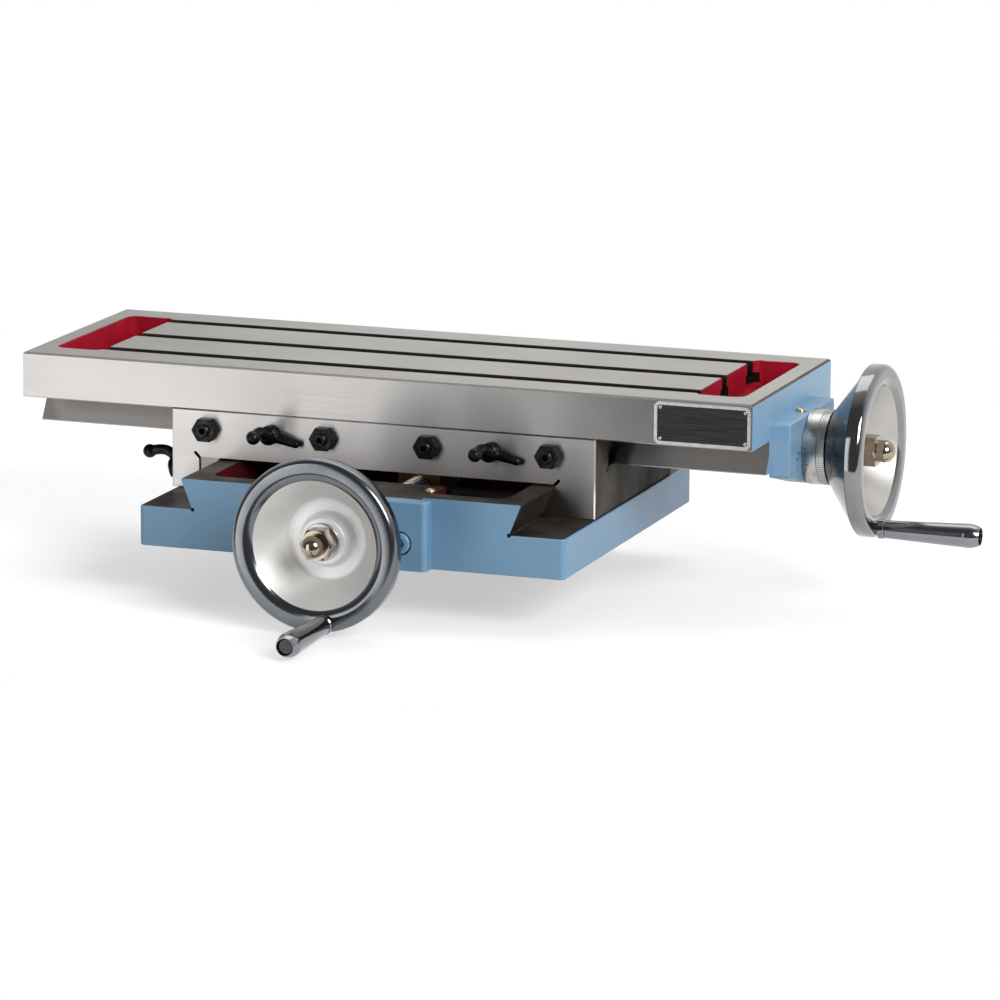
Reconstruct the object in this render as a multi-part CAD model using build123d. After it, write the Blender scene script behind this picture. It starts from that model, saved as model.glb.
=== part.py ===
from build123d import *
import os
from math import cos, radians, sin, tan

# Cross slide table: a T-slotted table that runs along X on a saddle, which runs along Y on a
# fixed base. Each slide has a male dovetail, a gib with set screws and a screw with a handwheel.
# The origin is the centre of the base's underside. X runs along the table, Y points away from
# the operator and Z points up.

# Base casting
BASE_DEPTH = 300.0
FLANGE_TOP = 30.3
FLANGE_REACH = 34.0
CROSS_WAY_HALF = 135.0
CROSS_WAY_HEIGHT = 23.2
CROSS_FLANK = 68.0
RAIL_WIDTH = 17.5
FRONT_WALL = 17.0
REAR_WALL = 14.0
BOSS_HALF = 58.0
BOSS_DEPTH = 50.0
BOSS_BELOW_WAY = 1.5
RELIEF_RADIUS = 1.6
CORE_CORNER = 10.0
BASE_CORNER = 4.0
BASE_EDGE = 1.2
FOOT_CHAMFER = 0.8

# Bench bolts: counterbored holes in the flanges
BENCH_HOLE_INSET = 22.0
BENCH_HOLE_Y = 60.0
BENCH_HOLE_RADIUS = 6.75
BENCH_BORE_RADIUS = 10.0
BENCH_BORE_DEPTH = 13.0

# Saddle casting, with its front where the photograph has it
SADDLE_FRONT = -76.0
SADDLE_GIB_SIDE = 22.1
SADDLE_FIXED_SIDE = 32.0
SADDLE_REAR_WALL = 17.0
SADDLE_WEB = 10.4
CROSS_HEADROOM = 1.5
CROSS_GIB_SPACE = 15.9
TABLE_HEADROOM = 1.0
TABLE_GIB_SPACE = 5.0
TABLE_WAY_DEPTH = 25.6
CORNER_SLOT_WIDTH = 2.4
CORNER_SLOT_REACH = 4.0
TABLE_GIB_RECESS = 6.0
CROSS_GIB_RECESS = 2.0
SADDLE_EDGE = 0.6

# Table casting, with its middle where the photograph has it
TABLE_LENGTH = 585.0
TABLE_WIDTH = 200.0
TABLE_MIDDLE = -4.0
TABLE_SLAB = 35.0
TABLE_WAY_HALF = 65.0
TABLE_FLANK = 60.0
CHANNEL_DEPTH = 26.6
TOP_CHAMFER = 1.5
WAY_CHAMFER = 0.8
TABLE_EDGE = 0.8

# T-slots and coolant troughs
SLOT_PITCH = 63.0
SLOT_NECK = 12.0
SLOT_NECK_DEPTH = 9.0
SLOT_WIDE = 20.0
SLOT_WIDE_DEPTH = 8.0
TROUGH_WIDTH = 38.0
TROUGH_END_WALL = 15.5
TROUGH_SIDE_WALL = 26.5
TROUGH_DEPTH = 20.0
TROUGH_CORNER = 8.0
SLOT_CHAMFER = 0.5
DRAIN_RADIUS = 4.5
DRAIN_FROM_BACK = 66.0

# Running fits and small gaps
WAY_GAP = 0.05
FIT = 0.05
SCREW_RUN = 0.08
GIB_GAP = 0.3
FACE_GAP = 0.5

# Feed screws, stepped up from the threaded end that holds the wheel's nut
CROSS_SCREW_DEPTH = 25.0
LONG_SCREW_RISE = 12.6
END_RADIUS = 6.0
SEAT_STEP = 1.0
JOURNAL_STEP = 1.5
THREAD_STEP = 1.5
COLLAR_STEP = 2.0
COLLAR_LENGTH = 6.0
CROSS_SCREW_CLEAR = 14.0
LONG_SCREW_CLEAR = 34.5

# Bearing housings of the two screws
CROSS_PLATE_HALF = 65.0
CROSS_PLATE_THICK = 12.0
CROSS_BOSS_RADIUS = 26.0
CROSS_BOSS_LENGTH = 6.0
CROSS_PLATE_CORNER = 4.0
PLATE_EDGE = 0.8
PLATE_SCREW_INSET = 13.5
PLATE_SCREW_Z = 20.5
PLATE_SCREW_BITE = 22.0
BRACKET_THICK = 16.0
BRACKET_HALF = 57.0
BRACKET_RISE = 26.7
BRACKET_DROP = 15.0
BRACKET_LOBE = 28.0
BRACKET_SCREW_OFFSET = 36.0
BRACKET_SCREW_DROP = 5.0
BRACKET_SCREW_BITE = 18.0
BRACKET_CORNER = 3.0
BUSH_WALL = 2.5
THRUST_STEP = 4.0
THRUST_LENGTH = 4.0

# Handwheel, measured back from its face
WHEEL_RADIUS = 65.0
RIM_WIDTH = 12.5
RIM_FACE = 14.5
RIM_ROUND = 5.0
BOWL_DEPTH = 31.0
BOWL_FLOOR_RADIUS = 31.0
SEAT_DEPTH = 20.0
SEAT_BOSS_RADIUS = 17.5
SEAT_BOSS_FLARE = 2.5
HUB_BACK = 38.5
HUB_BACK_RADIUS = 28.0
NOSE_RADIUS = 15.0
NOSE_LENGTH = 17.5

# Dial, wheel nut, key and crank handle
DIAL_RADIUS = 28.5
WASHER_RADIUS = 14.0
WASHER_THICK = 3.0
NUT_FLATS = 22.0
NUT_HEX_LENGTH = 12.5
NUT_DOME = 13.0
NUT_DOME_RADIUS = 8.5
KEY_WIDTH = 5.0
KEY_SINK = 2.8
KEY_RISE = 2.0
KEY_START = 6.0
KEY_SHORT = 5.0
HANDLE_INSET = 7.0
HANDLE_STUD = 4.0
HANDLE_STUD_DEPTH = 9.5
HANDLE_COLLAR = 7.4
HANDLE_COLLAR_LENGTH = 5.0
PIN_RADIUS = 4.0
PIN_LENGTH = 67.8
PIN_HEAD_RADIUS = 6.2
PIN_HEAD = 3.0
GRIP_SMALL = 6.8
GRIP_LARGE = 9.1
GRIP_LENGTH = 72.5
CROSS_HANDLE_ANGLE = 9.0
LONG_HANDLE_ANGLE = -8.0

# Gib set screws, locknuts and lock levers, spaced from the saddle's ends
SET_RADIUS = 5.0
SET_PROUD = 10.5
SET_SOCKET = 5.0
LOCKNUT_FLATS = 17.0
LOCKNUT_THICK = 8.0
TABLE_SET_FROM_LEFT = (28.8, 124.3)
TABLE_SET_FROM_RIGHT = (132.2, 35.9)
TABLE_SET_RISE = 11.3
CROSS_SET_FROM_FRONT = (20.0, 98.0)
CROSS_SET_FROM_REAR = 22.0
CROSS_SET_RISE = 12.3
TABLE_LOCK_FROM_LEFT = 81.5
TABLE_LOCK_FROM_RIGHT = 81.5
CROSS_LOCK_FROM_FRONT = 44.0
LOCK_RADIUS = 4.0
LOCK_PLUG = 8.0
LEVER_HUB = 7.5
LEVER_HUB_LENGTH = 10.0
LEVER_NECK = 4.0
LEVER_KNOB = 5.4
LEVER_ARCH = 5.5
LEVER_END_RISE = 4.0
LEVER_REACH = 37.0
LEVER_ARM = 3.0
LEVER_ARM_REACH = 25.0
FRONT_ARM_ANGLE = -14.0
SIDE_ARM_ANGLE = -78.0

# Screw nuts under the saddle and in the table's channel
NUT_HALF_LENGTH = 17.0
CROSS_NUT_WALL = 7.0
CROSS_NUT_EAR = 15.0
CROSS_NUT_FLANGE_THICK = 8.0
CROSS_NUT_SCREW_OUT = 7.0
LONG_NUT_TOP_WALL = 1.5
LONG_NUT_SCREW_X = 10.0
LONG_NUT_SCREW_OUT = 5.2
LONG_NUT_SIDE = 4.8
LONG_NUT_CLEAR = 3.0
NUT_SCREW_BITE = 8.0

# Name plate and oil cups
PLATE_WIDTH = 74.5
PLATE_HEIGHT = 32.0
PLATE_FROM_END = 38.3
PLATE_FROM_TOP = 17.8
PLATE_THICK = 1.0
PLATE_RIM = 2.4
PLATE_RIM_PROUD = 0.6
PLATE_CORNER = 4.5
OIL_RADIUS = 4.0
OIL_STEM = 3.0
OIL_PROUD = 2.0
BASE_OIL_FROM_SIDE = 5.0
BASE_OIL_FROM_FRONT = 30.0
BRACKET_OIL_SHIFT = -4.0

# Base, from the driving sizes
BASE_HALF = CROSS_WAY_HALF + FLANGE_REACH
BASE_FRONT = -BASE_DEPTH / 2
CROSS_WAY_TOP = FLANGE_TOP + CROSS_WAY_HEIGHT
CROSS_ROOT = CROSS_WAY_HALF - CROSS_WAY_HEIGHT / tan(radians(CROSS_FLANK))
CORE_HALF = CROSS_WAY_HALF - RAIL_WIDTH
BOSS_REAR = BASE_FRONT + BOSS_DEPTH
BOSS_TOP = CROSS_WAY_TOP - BOSS_BELOW_WAY
BENCH_HOLE_X = BASE_HALF - BENCH_HOLE_INSET
PLATE_SCREW_X = BOSS_HALF - PLATE_SCREW_INSET
BASE_OIL = (BOSS_HALF - BASE_OIL_FROM_SIDE, BASE_FRONT + BASE_OIL_FROM_FRONT)

# Table and saddle, from the driving sizes
TABLE_FRONT = SADDLE_FRONT
TABLE_BACK = TABLE_FRONT + TABLE_WIDTH
TABLE_CENTRE = (TABLE_FRONT + TABLE_BACK) / 2
TABLE_LEFT = TABLE_MIDDLE - TABLE_LENGTH / 2
TABLE_RIGHT = TABLE_MIDDLE + TABLE_LENGTH / 2
CROSS_CEILING = CROSS_WAY_TOP + CROSS_HEADROOM
CROSS_GIB_WALL = -CROSS_WAY_HALF - CROSS_GIB_SPACE
TABLE_FLOOR = CROSS_CEILING + SADDLE_WEB
TABLE_GIB_WALL = TABLE_CENTRE - TABLE_WAY_HALF - TABLE_GIB_SPACE
TABLE_WAY_BOTTOM = TABLE_FLOOR + TABLE_HEADROOM
SADDLE_LEFT = CROSS_GIB_WALL - SADDLE_GIB_SIDE
SADDLE_RIGHT = CROSS_WAY_HALF + SADDLE_FIXED_SIDE
SADDLE_REAR = TABLE_CENTRE + TABLE_WAY_HALF + SADDLE_REAR_WALL
SADDLE_TOP = TABLE_FLOOR + TABLE_WAY_DEPTH
TABLE_TOP = SADDLE_TOP + TABLE_SLAB
TABLE_ROOT = TABLE_WAY_HALF - (SADDLE_TOP - TABLE_WAY_BOTTOM) / tan(radians(TABLE_FLANK))
CHANNEL_TOP = TABLE_WAY_BOTTOM + CHANNEL_DEPTH
SLOT_FLOOR = TABLE_TOP - SLOT_NECK_DEPTH - SLOT_WIDE_DEPTH
TABLE_SET_X = [SADDLE_LEFT + x for x in TABLE_SET_FROM_LEFT]
TABLE_SET_X += [SADDLE_RIGHT - x for x in TABLE_SET_FROM_RIGHT]
TABLE_LOCK_X = [SADDLE_LEFT + TABLE_LOCK_FROM_LEFT, SADDLE_RIGHT - TABLE_LOCK_FROM_RIGHT]
TABLE_SET_Z = TABLE_FLOOR + TABLE_SET_RISE
CROSS_SET_Y = [SADDLE_FRONT + y for y in CROSS_SET_FROM_FRONT] + [SADDLE_REAR - CROSS_SET_FROM_REAR]
CROSS_LOCK_Y = SADDLE_FRONT + CROSS_LOCK_FROM_FRONT
CROSS_SET_Z = FLANGE_TOP + CROSS_SET_RISE

# Screws, their nuts and housings, from the driving sizes
SEAT_RADIUS = END_RADIUS + SEAT_STEP
JOURNAL_RADIUS = SEAT_RADIUS + JOURNAL_STEP
SCREW_RADIUS = JOURNAL_RADIUS + THREAD_STEP
COLLAR_RADIUS = SCREW_RADIUS + COLLAR_STEP
BUSH_RADIUS = JOURNAL_RADIUS + BUSH_WALL
THRUST_RADIUS = BUSH_RADIUS + THRUST_STEP
KEY_LOW = SEAT_RADIUS - KEY_SINK
KEY_HIGH = SEAT_RADIUS + KEY_RISE
CROSS_SCREW_Z = BOSS_TOP - CROSS_SCREW_DEPTH
LONG_SCREW_Z = TABLE_FLOOR + LONG_SCREW_RISE
CROSS_SCREW_END = -BASE_FRONT - REAR_WALL - CROSS_SCREW_CLEAR
LONG_SCREW_END = TABLE_LEFT + LONG_SCREW_CLEAR
CROSS_HOUSING = CROSS_PLATE_THICK + CROSS_BOSS_LENGTH
CROSS_FACE = BASE_FRONT - CROSS_HOUSING
LONG_FACE = TABLE_RIGHT + BRACKET_THICK
BRACKET_TOP = LONG_SCREW_Z + BRACKET_RISE
BRACKET_SHOULDER = LONG_SCREW_Z - BRACKET_DROP
BRACKET_SCREW_Z = LONG_SCREW_Z - BRACKET_SCREW_DROP
CROSS_NUT_Y = (SADDLE_FRONT + SADDLE_REAR) / 2
CROSS_NUT_BODY = SCREW_RADIUS + CROSS_NUT_WALL
CROSS_NUT_FLANGE = CROSS_NUT_BODY + CROSS_NUT_EAR
CROSS_NUT_SCREW = CROSS_NUT_BODY + CROSS_NUT_SCREW_OUT
LONG_NUT_X = (SADDLE_LEFT + SADDLE_RIGHT) / 2
LONG_NUT_RISE = SCREW_RADIUS + LONG_NUT_TOP_WALL
LONG_NUT_SCREW_Y = SCREW_RADIUS + LONG_NUT_SCREW_OUT
LONG_NUT_HALF_WIDTH = LONG_NUT_SCREW_Y + LONG_NUT_SIDE
CHANNEL_HALF = LONG_NUT_HALF_WIDTH + LONG_NUT_CLEAR

# Wheel and plate, from the driving sizes
WHEEL_FACE = NOSE_LENGTH + HUB_BACK
BOWL_FLOOR = WHEEL_FACE - BOWL_DEPTH
BOWL_SEAT = WHEEL_FACE - SEAT_DEPTH
RIM_INNER = WHEEL_RADIUS - RIM_FACE
HANDLE_CIRCLE = WHEEL_RADIUS - HANDLE_INSET
KEY_END = BOWL_SEAT - KEY_SHORT
PLATE_CENTRE_X = TABLE_RIGHT - PLATE_FROM_END
PLATE_CENTRE_Z = TABLE_TOP - PLATE_FROM_TOP

# Each drive is drawn with local Z along its screw, outward, from its housing's outer face
CROSS_DRIVE = Plane(origin=(0, CROSS_FACE, CROSS_SCREW_Z), x_dir=(1, 0, 0), z_dir=(0, -1, 0))
LONG_DRIVE = Plane(origin=(LONG_FACE, TABLE_CENTRE, LONG_SCREW_Z), x_dir=(0, 1, 0), z_dir=(1, 0, 0))


def prism_x(section, start, end):
    """A section in (Y, Z), drawn out along X."""
    return extrude(Plane.YZ.offset(start) * section, end - start)


def prism_y(section, start, end):
    """A section in (X, Z), drawn out along Y."""
    return extrude(Plane.XZ.offset(-end) * section, end - start)


def outline(*points):
    return make_face(Polyline(*points, close=True))


def box(x0, x1, y0, y1, z0, z1):
    return Pos((x0 + x1) / 2, (y0 + y1) / 2, (z0 + z1) / 2) * Box(x1 - x0, y1 - y0, z1 - z0)


def turned(*points):
    """A closed (radius, height) outline turned about Z."""
    return revolve(Plane.XZ * outline(*points), Axis.Z)


def rod(radius, start, end):
    return Pos(0, 0, start) * Cylinder(radius, end - start, align=(Align.CENTER, Align.CENTER, Align.MIN))


def ring(inner, outer, start, end):
    return rod(outer, start, end) - rod(inner, start, end)


def hexagon(flats, start, end):
    """A hexagonal prism with its corners turned off at both ends."""
    corner = flats / 2 / cos(radians(30))
    bevel = corner - flats / 2
    prism = Pos(0, 0, start) * extrude(RegularPolygon(corner, 6), end - start)
    limits = turned(
        (0, start), (flats / 2, start), (corner, start + bevel / 2),
        (corner, end - bevel / 2), (flats / 2, end), (0, end),
    )
    return prism & limits


def socket(flats, depth, mouth):
    """The hexagonal key socket of a screw whose end is at the height of its mouth."""
    return Pos(0, 0, mouth - depth) * extrude(RegularPolygon(flats / 2 / cos(radians(30)), 6), depth)


def corner_slot(x, z, angle):
    """A relief slot that runs diagonally out of an inside corner."""
    return Pos(x, z) * Rot(0, 0, angle) * SlotCenterToCenter(2 * CORNER_SLOT_REACH, CORNER_SLOT_WIDTH)


# Base and its fixed pieces

def cross_flank(z, gap=0.0):
    """Distance of a base dovetail flank from the middle at a height, moved out square by a gap."""
    angle = radians(CROSS_FLANK)
    return CROSS_ROOT + (z - FLANGE_TOP) / tan(angle) + gap / sin(angle)


def table_flank(z, gap=0.0):
    """Distance of a table dovetail flank from the table's middle at a height."""
    angle = radians(TABLE_FLANK)
    return TABLE_ROOT + (SADDLE_TOP - z) / tan(angle) + gap / sin(angle)


def base_section():
    top = CROSS_WAY_HALF - WAY_CHAMFER
    low = CROSS_WAY_TOP - WAY_CHAMFER
    section = outline(
        (-BASE_HALF, 0), (-BASE_HALF, FLANGE_TOP), (-CROSS_ROOT, FLANGE_TOP), (-cross_flank(low), low),
        (-top, CROSS_WAY_TOP), (top, CROSS_WAY_TOP), (cross_flank(low), low),
        (CROSS_ROOT, FLANGE_TOP), (BASE_HALF, FLANGE_TOP), (BASE_HALF, 0),
    )
    for side in (-1, 1):
        section -= Pos(side * CROSS_ROOT, FLANGE_TOP) * Circle(RELIEF_RADIUS)
    return section


def base():
    body = prism_y(base_section(), BASE_FRONT, -BASE_FRONT)
    uprights = body.edges().filter_by(Axis.Z)
    body = fillet([e for e in uprights if abs(e.center().X) > BASE_HALF - 1], BASE_CORNER)
    flange_rims = [
        e for e in body.edges().filter_by_position(Axis.Z, FLANGE_TOP - 0.01, FLANGE_TOP + 0.01)
        if abs(e.center().X) > CROSS_ROOT + 5 and (abs(e.center().Y) > -BASE_FRONT - BASE_CORNER
                                                  or abs(e.center().X) > BASE_HALF - 1)]
    body = fillet(flange_rims, BASE_EDGE)
    body = chamfer(body.faces().sort_by(Axis.Z)[0].edges(), FOOT_CHAMFER)
    core_front = BASE_FRONT + FRONT_WALL
    core_rear = -BASE_FRONT - REAR_WALL
    core = RectangleRounded(2 * CORE_HALF, core_rear - core_front, CORE_CORNER)
    body -= Pos(0, (core_front + core_rear) / 2) * extrude(core, CROSS_WAY_TOP)
    body += box(-BOSS_HALF, BOSS_HALF, core_front - 1, BOSS_REAR, 0, BOSS_TOP)
    body -= box(-BOSS_HALF, BOSS_HALF, BASE_FRONT - 1, core_front + 1, BOSS_TOP, CROSS_WAY_TOP + 1)
    boss_end = BASE_FRONT - BOSS_REAR - CROSS_HOUSING
    body -= CROSS_DRIVE * rod(COLLAR_RADIUS + 1, boss_end - 1, 1 - CROSS_HOUSING)
    for plane in plate_screw_planes():
        body -= plane * rod(PLATE_SCREW.radius + FIT, -PLATE_SCREW_BITE - CROSS_PLATE_THICK, 0)
    for x in (-BENCH_HOLE_X, BENCH_HOLE_X):
        for y in (-BENCH_HOLE_Y, BENCH_HOLE_Y):
            body -= Pos(x, y) * rod(BENCH_HOLE_RADIUS, -1, FLANGE_TOP)
            body -= Pos(x, y) * rod(BENCH_BORE_RADIUS, FLANGE_TOP - BENCH_BORE_DEPTH, FLANGE_TOP + 1)
    return body - Pos(*BASE_OIL, BOSS_TOP) * oil_hole()


def plate_screw_planes():
    """The seats of the bearing plate's screws, on the plate's front face."""
    front = BASE_FRONT - CROSS_PLATE_THICK
    return [Plane((x, front, PLATE_SCREW_Z), x_dir=(1, 0, 0), z_dir=(0, -1, 0))
            for x in (-PLATE_SCREW_X, PLATE_SCREW_X)]


def cross_bearing_plate():
    front = BASE_FRONT - CROSS_PLATE_THICK
    plate = box(-CROSS_PLATE_HALF, CROSS_PLATE_HALF, front, BASE_FRONT, 0, BOSS_TOP)
    uprights = plate.edges().filter_by(Axis.Z).group_by(Axis.Y)[0]
    plate = fillet(uprights, CROSS_PLATE_CORNER)
    rims = plate.faces().sort_by(Axis.Y)[0].edges().filter_by_position(Axis.Z, 1, BOSS_TOP + 1)
    plate = chamfer(rims, PLATE_EDGE)
    boss = rod(CROSS_BOSS_RADIUS, -CROSS_BOSS_LENGTH, 0)
    plate += CROSS_DRIVE * chamfer(boss.edges().sort_by(Axis.Z)[-1], PLATE_EDGE)
    plate -= CROSS_DRIVE * housing_bore(CROSS_HOUSING)
    for plane in plate_screw_planes():
        plate -= plane * screw_hole(PLATE_SCREW, CROSS_PLATE_THICK)
    return plate


# Screws, bearings and other turned pieces, drawn with local Z outward

class CapScrew:
    """The sizes of a socket head cap screw and of the counterbore that it sits in."""

    def __init__(self, radius, head_radius, head_length, flats, sink, hole_radius, sink_radius):
        self.radius = radius
        self.head_radius = head_radius
        self.head_length = head_length
        self.flats = flats
        self.sink = sink
        self.hole_radius = hole_radius
        self.sink_radius = sink_radius

    def solid(self, length):
        """A screw whose counterbore opens at height 0 and whose shank ends that far below it."""
        seat = -self.sink
        crown = seat + self.head_length
        edge = self.head_radius / 10
        body = turned(
            (0, -length), (self.radius - edge, -length), (self.radius, edge - length),
            (self.radius, seat), (self.head_radius, seat), (self.head_radius, crown - edge),
            (self.head_radius - edge, crown), (0, crown),
        )
        return body - socket(self.flats, self.head_length * 0.55, crown)


PLATE_SCREW = CapScrew(5.0, 8.0, 10.0, 8.0, 8.0, 5.5, 9.2)
BRACKET_SCREW = CapScrew(4.0, 6.5, 8.0, 6.0, 9.0, 4.5, 7.2)
CROSS_NUT_CAP = CapScrew(3.0, 5.0, 6.0, 5.0, 0.0, 3.3, 5.5)
LONG_NUT_CAP = CapScrew(2.5, 4.25, 5.0, 4.0, 6.0, 2.75, 4.5)


def screw_hole(cap, depth):
    """The clearance hole and counterbore of a cap screw, from the piece's outer face."""
    hole = rod(cap.hole_radius, -depth - 1, 1)
    if cap.sink > 0:
        hole += rod(cap.sink_radius, -cap.sink, 1)
    return hole


def housing_bore(length):
    """The bore for a bush, with a recess for a thrust bearing at each end."""
    bore = rod(BUSH_RADIUS, -length - 1, 1)
    bore += rod(THRUST_RADIUS + FIT, -length - 1, THRUST_LENGTH - length)
    return bore + rod(THRUST_RADIUS + FIT, -THRUST_LENGTH, 1)


def bush(length):
    return ring(JOURNAL_RADIUS + FIT, BUSH_RADIUS, THRUST_LENGTH - length, -THRUST_LENGTH)


def thrust_bearings(length):
    """Two needle thrust bearings, each a cage between two washers."""
    washer = THRUST_LENGTH / 4
    solids = []
    for seat in (-length, -THRUST_LENGTH):
        solids.append(ring(JOURNAL_RADIUS + FIT, THRUST_RADIUS, seat, seat + washer))
        solids.append(ring(JOURNAL_RADIUS + 1, THRUST_RADIUS - 1, seat + washer, seat + 3 * washer))
        solids.append(ring(JOURNAL_RADIUS + FIT, THRUST_RADIUS, seat + 3 * washer, seat + THRUST_LENGTH))
    return solids


def screw(housing, free_end):
    """A feed screw, from its free end to the thread that holds the wheel's nut."""
    collar = -housing - COLLAR_LENGTH
    end = BOWL_SEAT + WASHER_THICK + NUT_HEX_LENGTH + 1
    body = turned(
        (0, free_end), (SCREW_RADIUS - 1.5, free_end), (SCREW_RADIUS, free_end + 1.5),
        (SCREW_RADIUS, collar), (COLLAR_RADIUS, collar), (COLLAR_RADIUS, -housing),
        (JOURNAL_RADIUS, -housing), (JOURNAL_RADIUS, -1), (SEAT_RADIUS, -1),
        (SEAT_RADIUS, BOWL_SEAT - 1), (END_RADIUS, BOWL_SEAT - 1), (END_RADIUS, end - 1),
        (END_RADIUS - 1, end), (0, end),
    )
    return body - box(-KEY_WIDTH / 2, KEY_WIDTH / 2, KEY_LOW, SEAT_RADIUS + 1, KEY_START, KEY_END)


def wheel_key():
    return box(-KEY_WIDTH / 2, KEY_WIDTH / 2, KEY_LOW, KEY_HIGH, KEY_START, KEY_END)


def rounded(section, *corners):
    """Rounds corners of a section, each given as its place and radius."""
    for x, y, radius in corners:
        section = fillet(section.vertices().sort_by_distance((x, y, 0))[0], radius)
    return section


def handle_place(angle):
    """The crank handle's place on the wheel, at an angle from straight down."""
    return Pos(HANDLE_CIRCLE * sin(radians(angle)), -HANDLE_CIRCLE * cos(radians(angle)))


def handwheel(angle):
    rim_back = WHEEL_FACE - RIM_WIDTH
    bore = SEAT_RADIUS + FIT
    boss_foot = SEAT_BOSS_RADIUS + SEAT_BOSS_FLARE
    section = outline(
        (bore, 0), (NOSE_RADIUS, 0), (NOSE_RADIUS, NOSE_LENGTH), (HUB_BACK_RADIUS, NOSE_LENGTH),
        (WHEEL_RADIUS - 2, rim_back), (WHEEL_RADIUS, rim_back), (WHEEL_RADIUS, WHEEL_FACE),
        (RIM_INNER, WHEEL_FACE), (BOWL_FLOOR_RADIUS, BOWL_FLOOR), (boss_foot, BOWL_FLOOR),
        (SEAT_BOSS_RADIUS, BOWL_SEAT), (bore, BOWL_SEAT),
    )
    section = rounded(
        section, (WHEEL_RADIUS, rim_back, 1.2), (WHEEL_RADIUS, WHEEL_FACE, RIM_ROUND),
        (RIM_INNER, WHEEL_FACE, RIM_ROUND), (BOWL_FLOOR_RADIUS, BOWL_FLOOR, 4.0),
        (boss_foot, BOWL_FLOOR, 2.5), (SEAT_BOSS_RADIUS, BOWL_SEAT, 0.8),
        (WHEEL_RADIUS - 2, rim_back, 1.4), (HUB_BACK_RADIUS, NOSE_LENGTH, 1.0),
    )
    wheel = revolve(Plane.XZ * section, Axis.Z)
    slot = KEY_WIDTH / 2 + FIT
    wheel -= box(-slot, slot, 0, KEY_HIGH + FIT, -1, BOWL_SEAT + 1)
    stud_hole = rod(HANDLE_STUD + FIT, WHEEL_FACE - HANDLE_STUD_DEPTH - 1, WHEEL_FACE + 1)
    return wheel - handle_place(angle) * stud_hole


def wheel_washer():
    return ring(END_RADIUS + FIT, WASHER_RADIUS, BOWL_SEAT, BOWL_SEAT + WASHER_THICK)


def wheel_nut():
    """An acorn nut: a hexagon with a dome that closes it."""
    seat = BOWL_SEAT + WASHER_THICK
    crown = seat + NUT_HEX_LENGTH
    dome = rod(NUT_DOME_RADIUS, crown - 1, crown + NUT_DOME)
    dome = fillet(dome.edges().sort_by(Axis.Z)[-1], NUT_DOME_RADIUS - 0.5)
    return hexagon(NUT_FLATS, seat, crown) + dome - rod(END_RADIUS + FIT, seat - 1, crown + 2)


def handle_spindle(angle):
    """The stud, collar, pin and head that carry a crank grip."""
    collar = WHEEL_FACE + HANDLE_COLLAR_LENGTH
    head = collar + PIN_LENGTH
    body = turned(
        (0, WHEEL_FACE - HANDLE_STUD_DEPTH), (HANDLE_STUD, WHEEL_FACE - HANDLE_STUD_DEPTH),
        (HANDLE_STUD, WHEEL_FACE), (HANDLE_COLLAR, WHEEL_FACE), (HANDLE_COLLAR, collar - 1),
        (HANDLE_COLLAR - 1, collar), (PIN_RADIUS, collar), (PIN_RADIUS, head),
        (PIN_HEAD_RADIUS, head), (PIN_HEAD_RADIUS, head + PIN_HEAD - 1),
        (PIN_HEAD_RADIUS - 1, head + PIN_HEAD), (0, head + PIN_HEAD),
    )
    return handle_place(angle) * body


def handle_grip(angle):
    """The crank grip: slender at the wheel, fuller towards its rounded end."""
    start = WHEEL_FACE + HANDLE_COLLAR_LENGTH + GIB_GAP
    end = start + GRIP_LENGTH
    sink = WHEEL_FACE + HANDLE_COLLAR_LENGTH + PIN_LENGTH - 0.2
    bore = PIN_RADIUS + FIT
    mouth = PIN_HEAD_RADIUS + 0.2
    fullest = (GRIP_LARGE, start + 0.84 * GRIP_LENGTH)
    inside = Polyline(
        (GRIP_SMALL, start), (bore, start), (bore, sink), (mouth, sink), (mouth, end), (mouth + 0.4, end))
    side = Spline((GRIP_SMALL, start), ((GRIP_SMALL + GRIP_LARGE) / 2, start + 0.42 * GRIP_LENGTH), fullest)
    nose = ThreePointArc(fullest, (GRIP_LARGE - 0.5, end - 4.5), (mouth + 0.4, end))
    section = make_face(inside.edges() + side.edges() + nose.edges())
    return handle_place(angle) * revolve(Plane.XZ * section, Axis.Z)


def dial():
    """A graduated collar that turns on the wheel's nose."""
    low = FACE_GAP
    high = NOSE_LENGTH - GIB_GAP
    bore = NOSE_RADIUS + FIT
    edge = 0.8
    return turned(
        (bore, low), (DIAL_RADIUS - edge, low), (DIAL_RADIUS, low + edge),
        (DIAL_RADIUS, high - edge), (DIAL_RADIUS - edge, high), (bore, high),
    )


def oil_hole():
    return rod(OIL_STEM + FIT, -7, 1)


def oil_cup():
    """A ball oiler: a stem in its hole under a low round cap with a dimple."""
    cup = rod(OIL_STEM, -6, 0) + rod(OIL_RADIUS, 0, OIL_PROUD)
    return cup - rod(OIL_RADIUS / 2, OIL_PROUD - 0.8, OIL_PROUD + 1)


# Saddle, its gibs and what adjusts and locks them

def front_planes(places):
    """Planes on the saddle's front face, with local Z towards the operator."""
    return [Plane((x, SADDLE_FRONT, TABLE_SET_Z), x_dir=(1, 0, 0), z_dir=(0, -1, 0)) for x in places]


def side_planes(places):
    """Planes on the saddle's left face, with local Z to the left."""
    return [Plane((SADDLE_LEFT, y, CROSS_SET_Z), x_dir=(0, -1, 0), z_dir=(-1, 0, 0)) for y in places]


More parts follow.
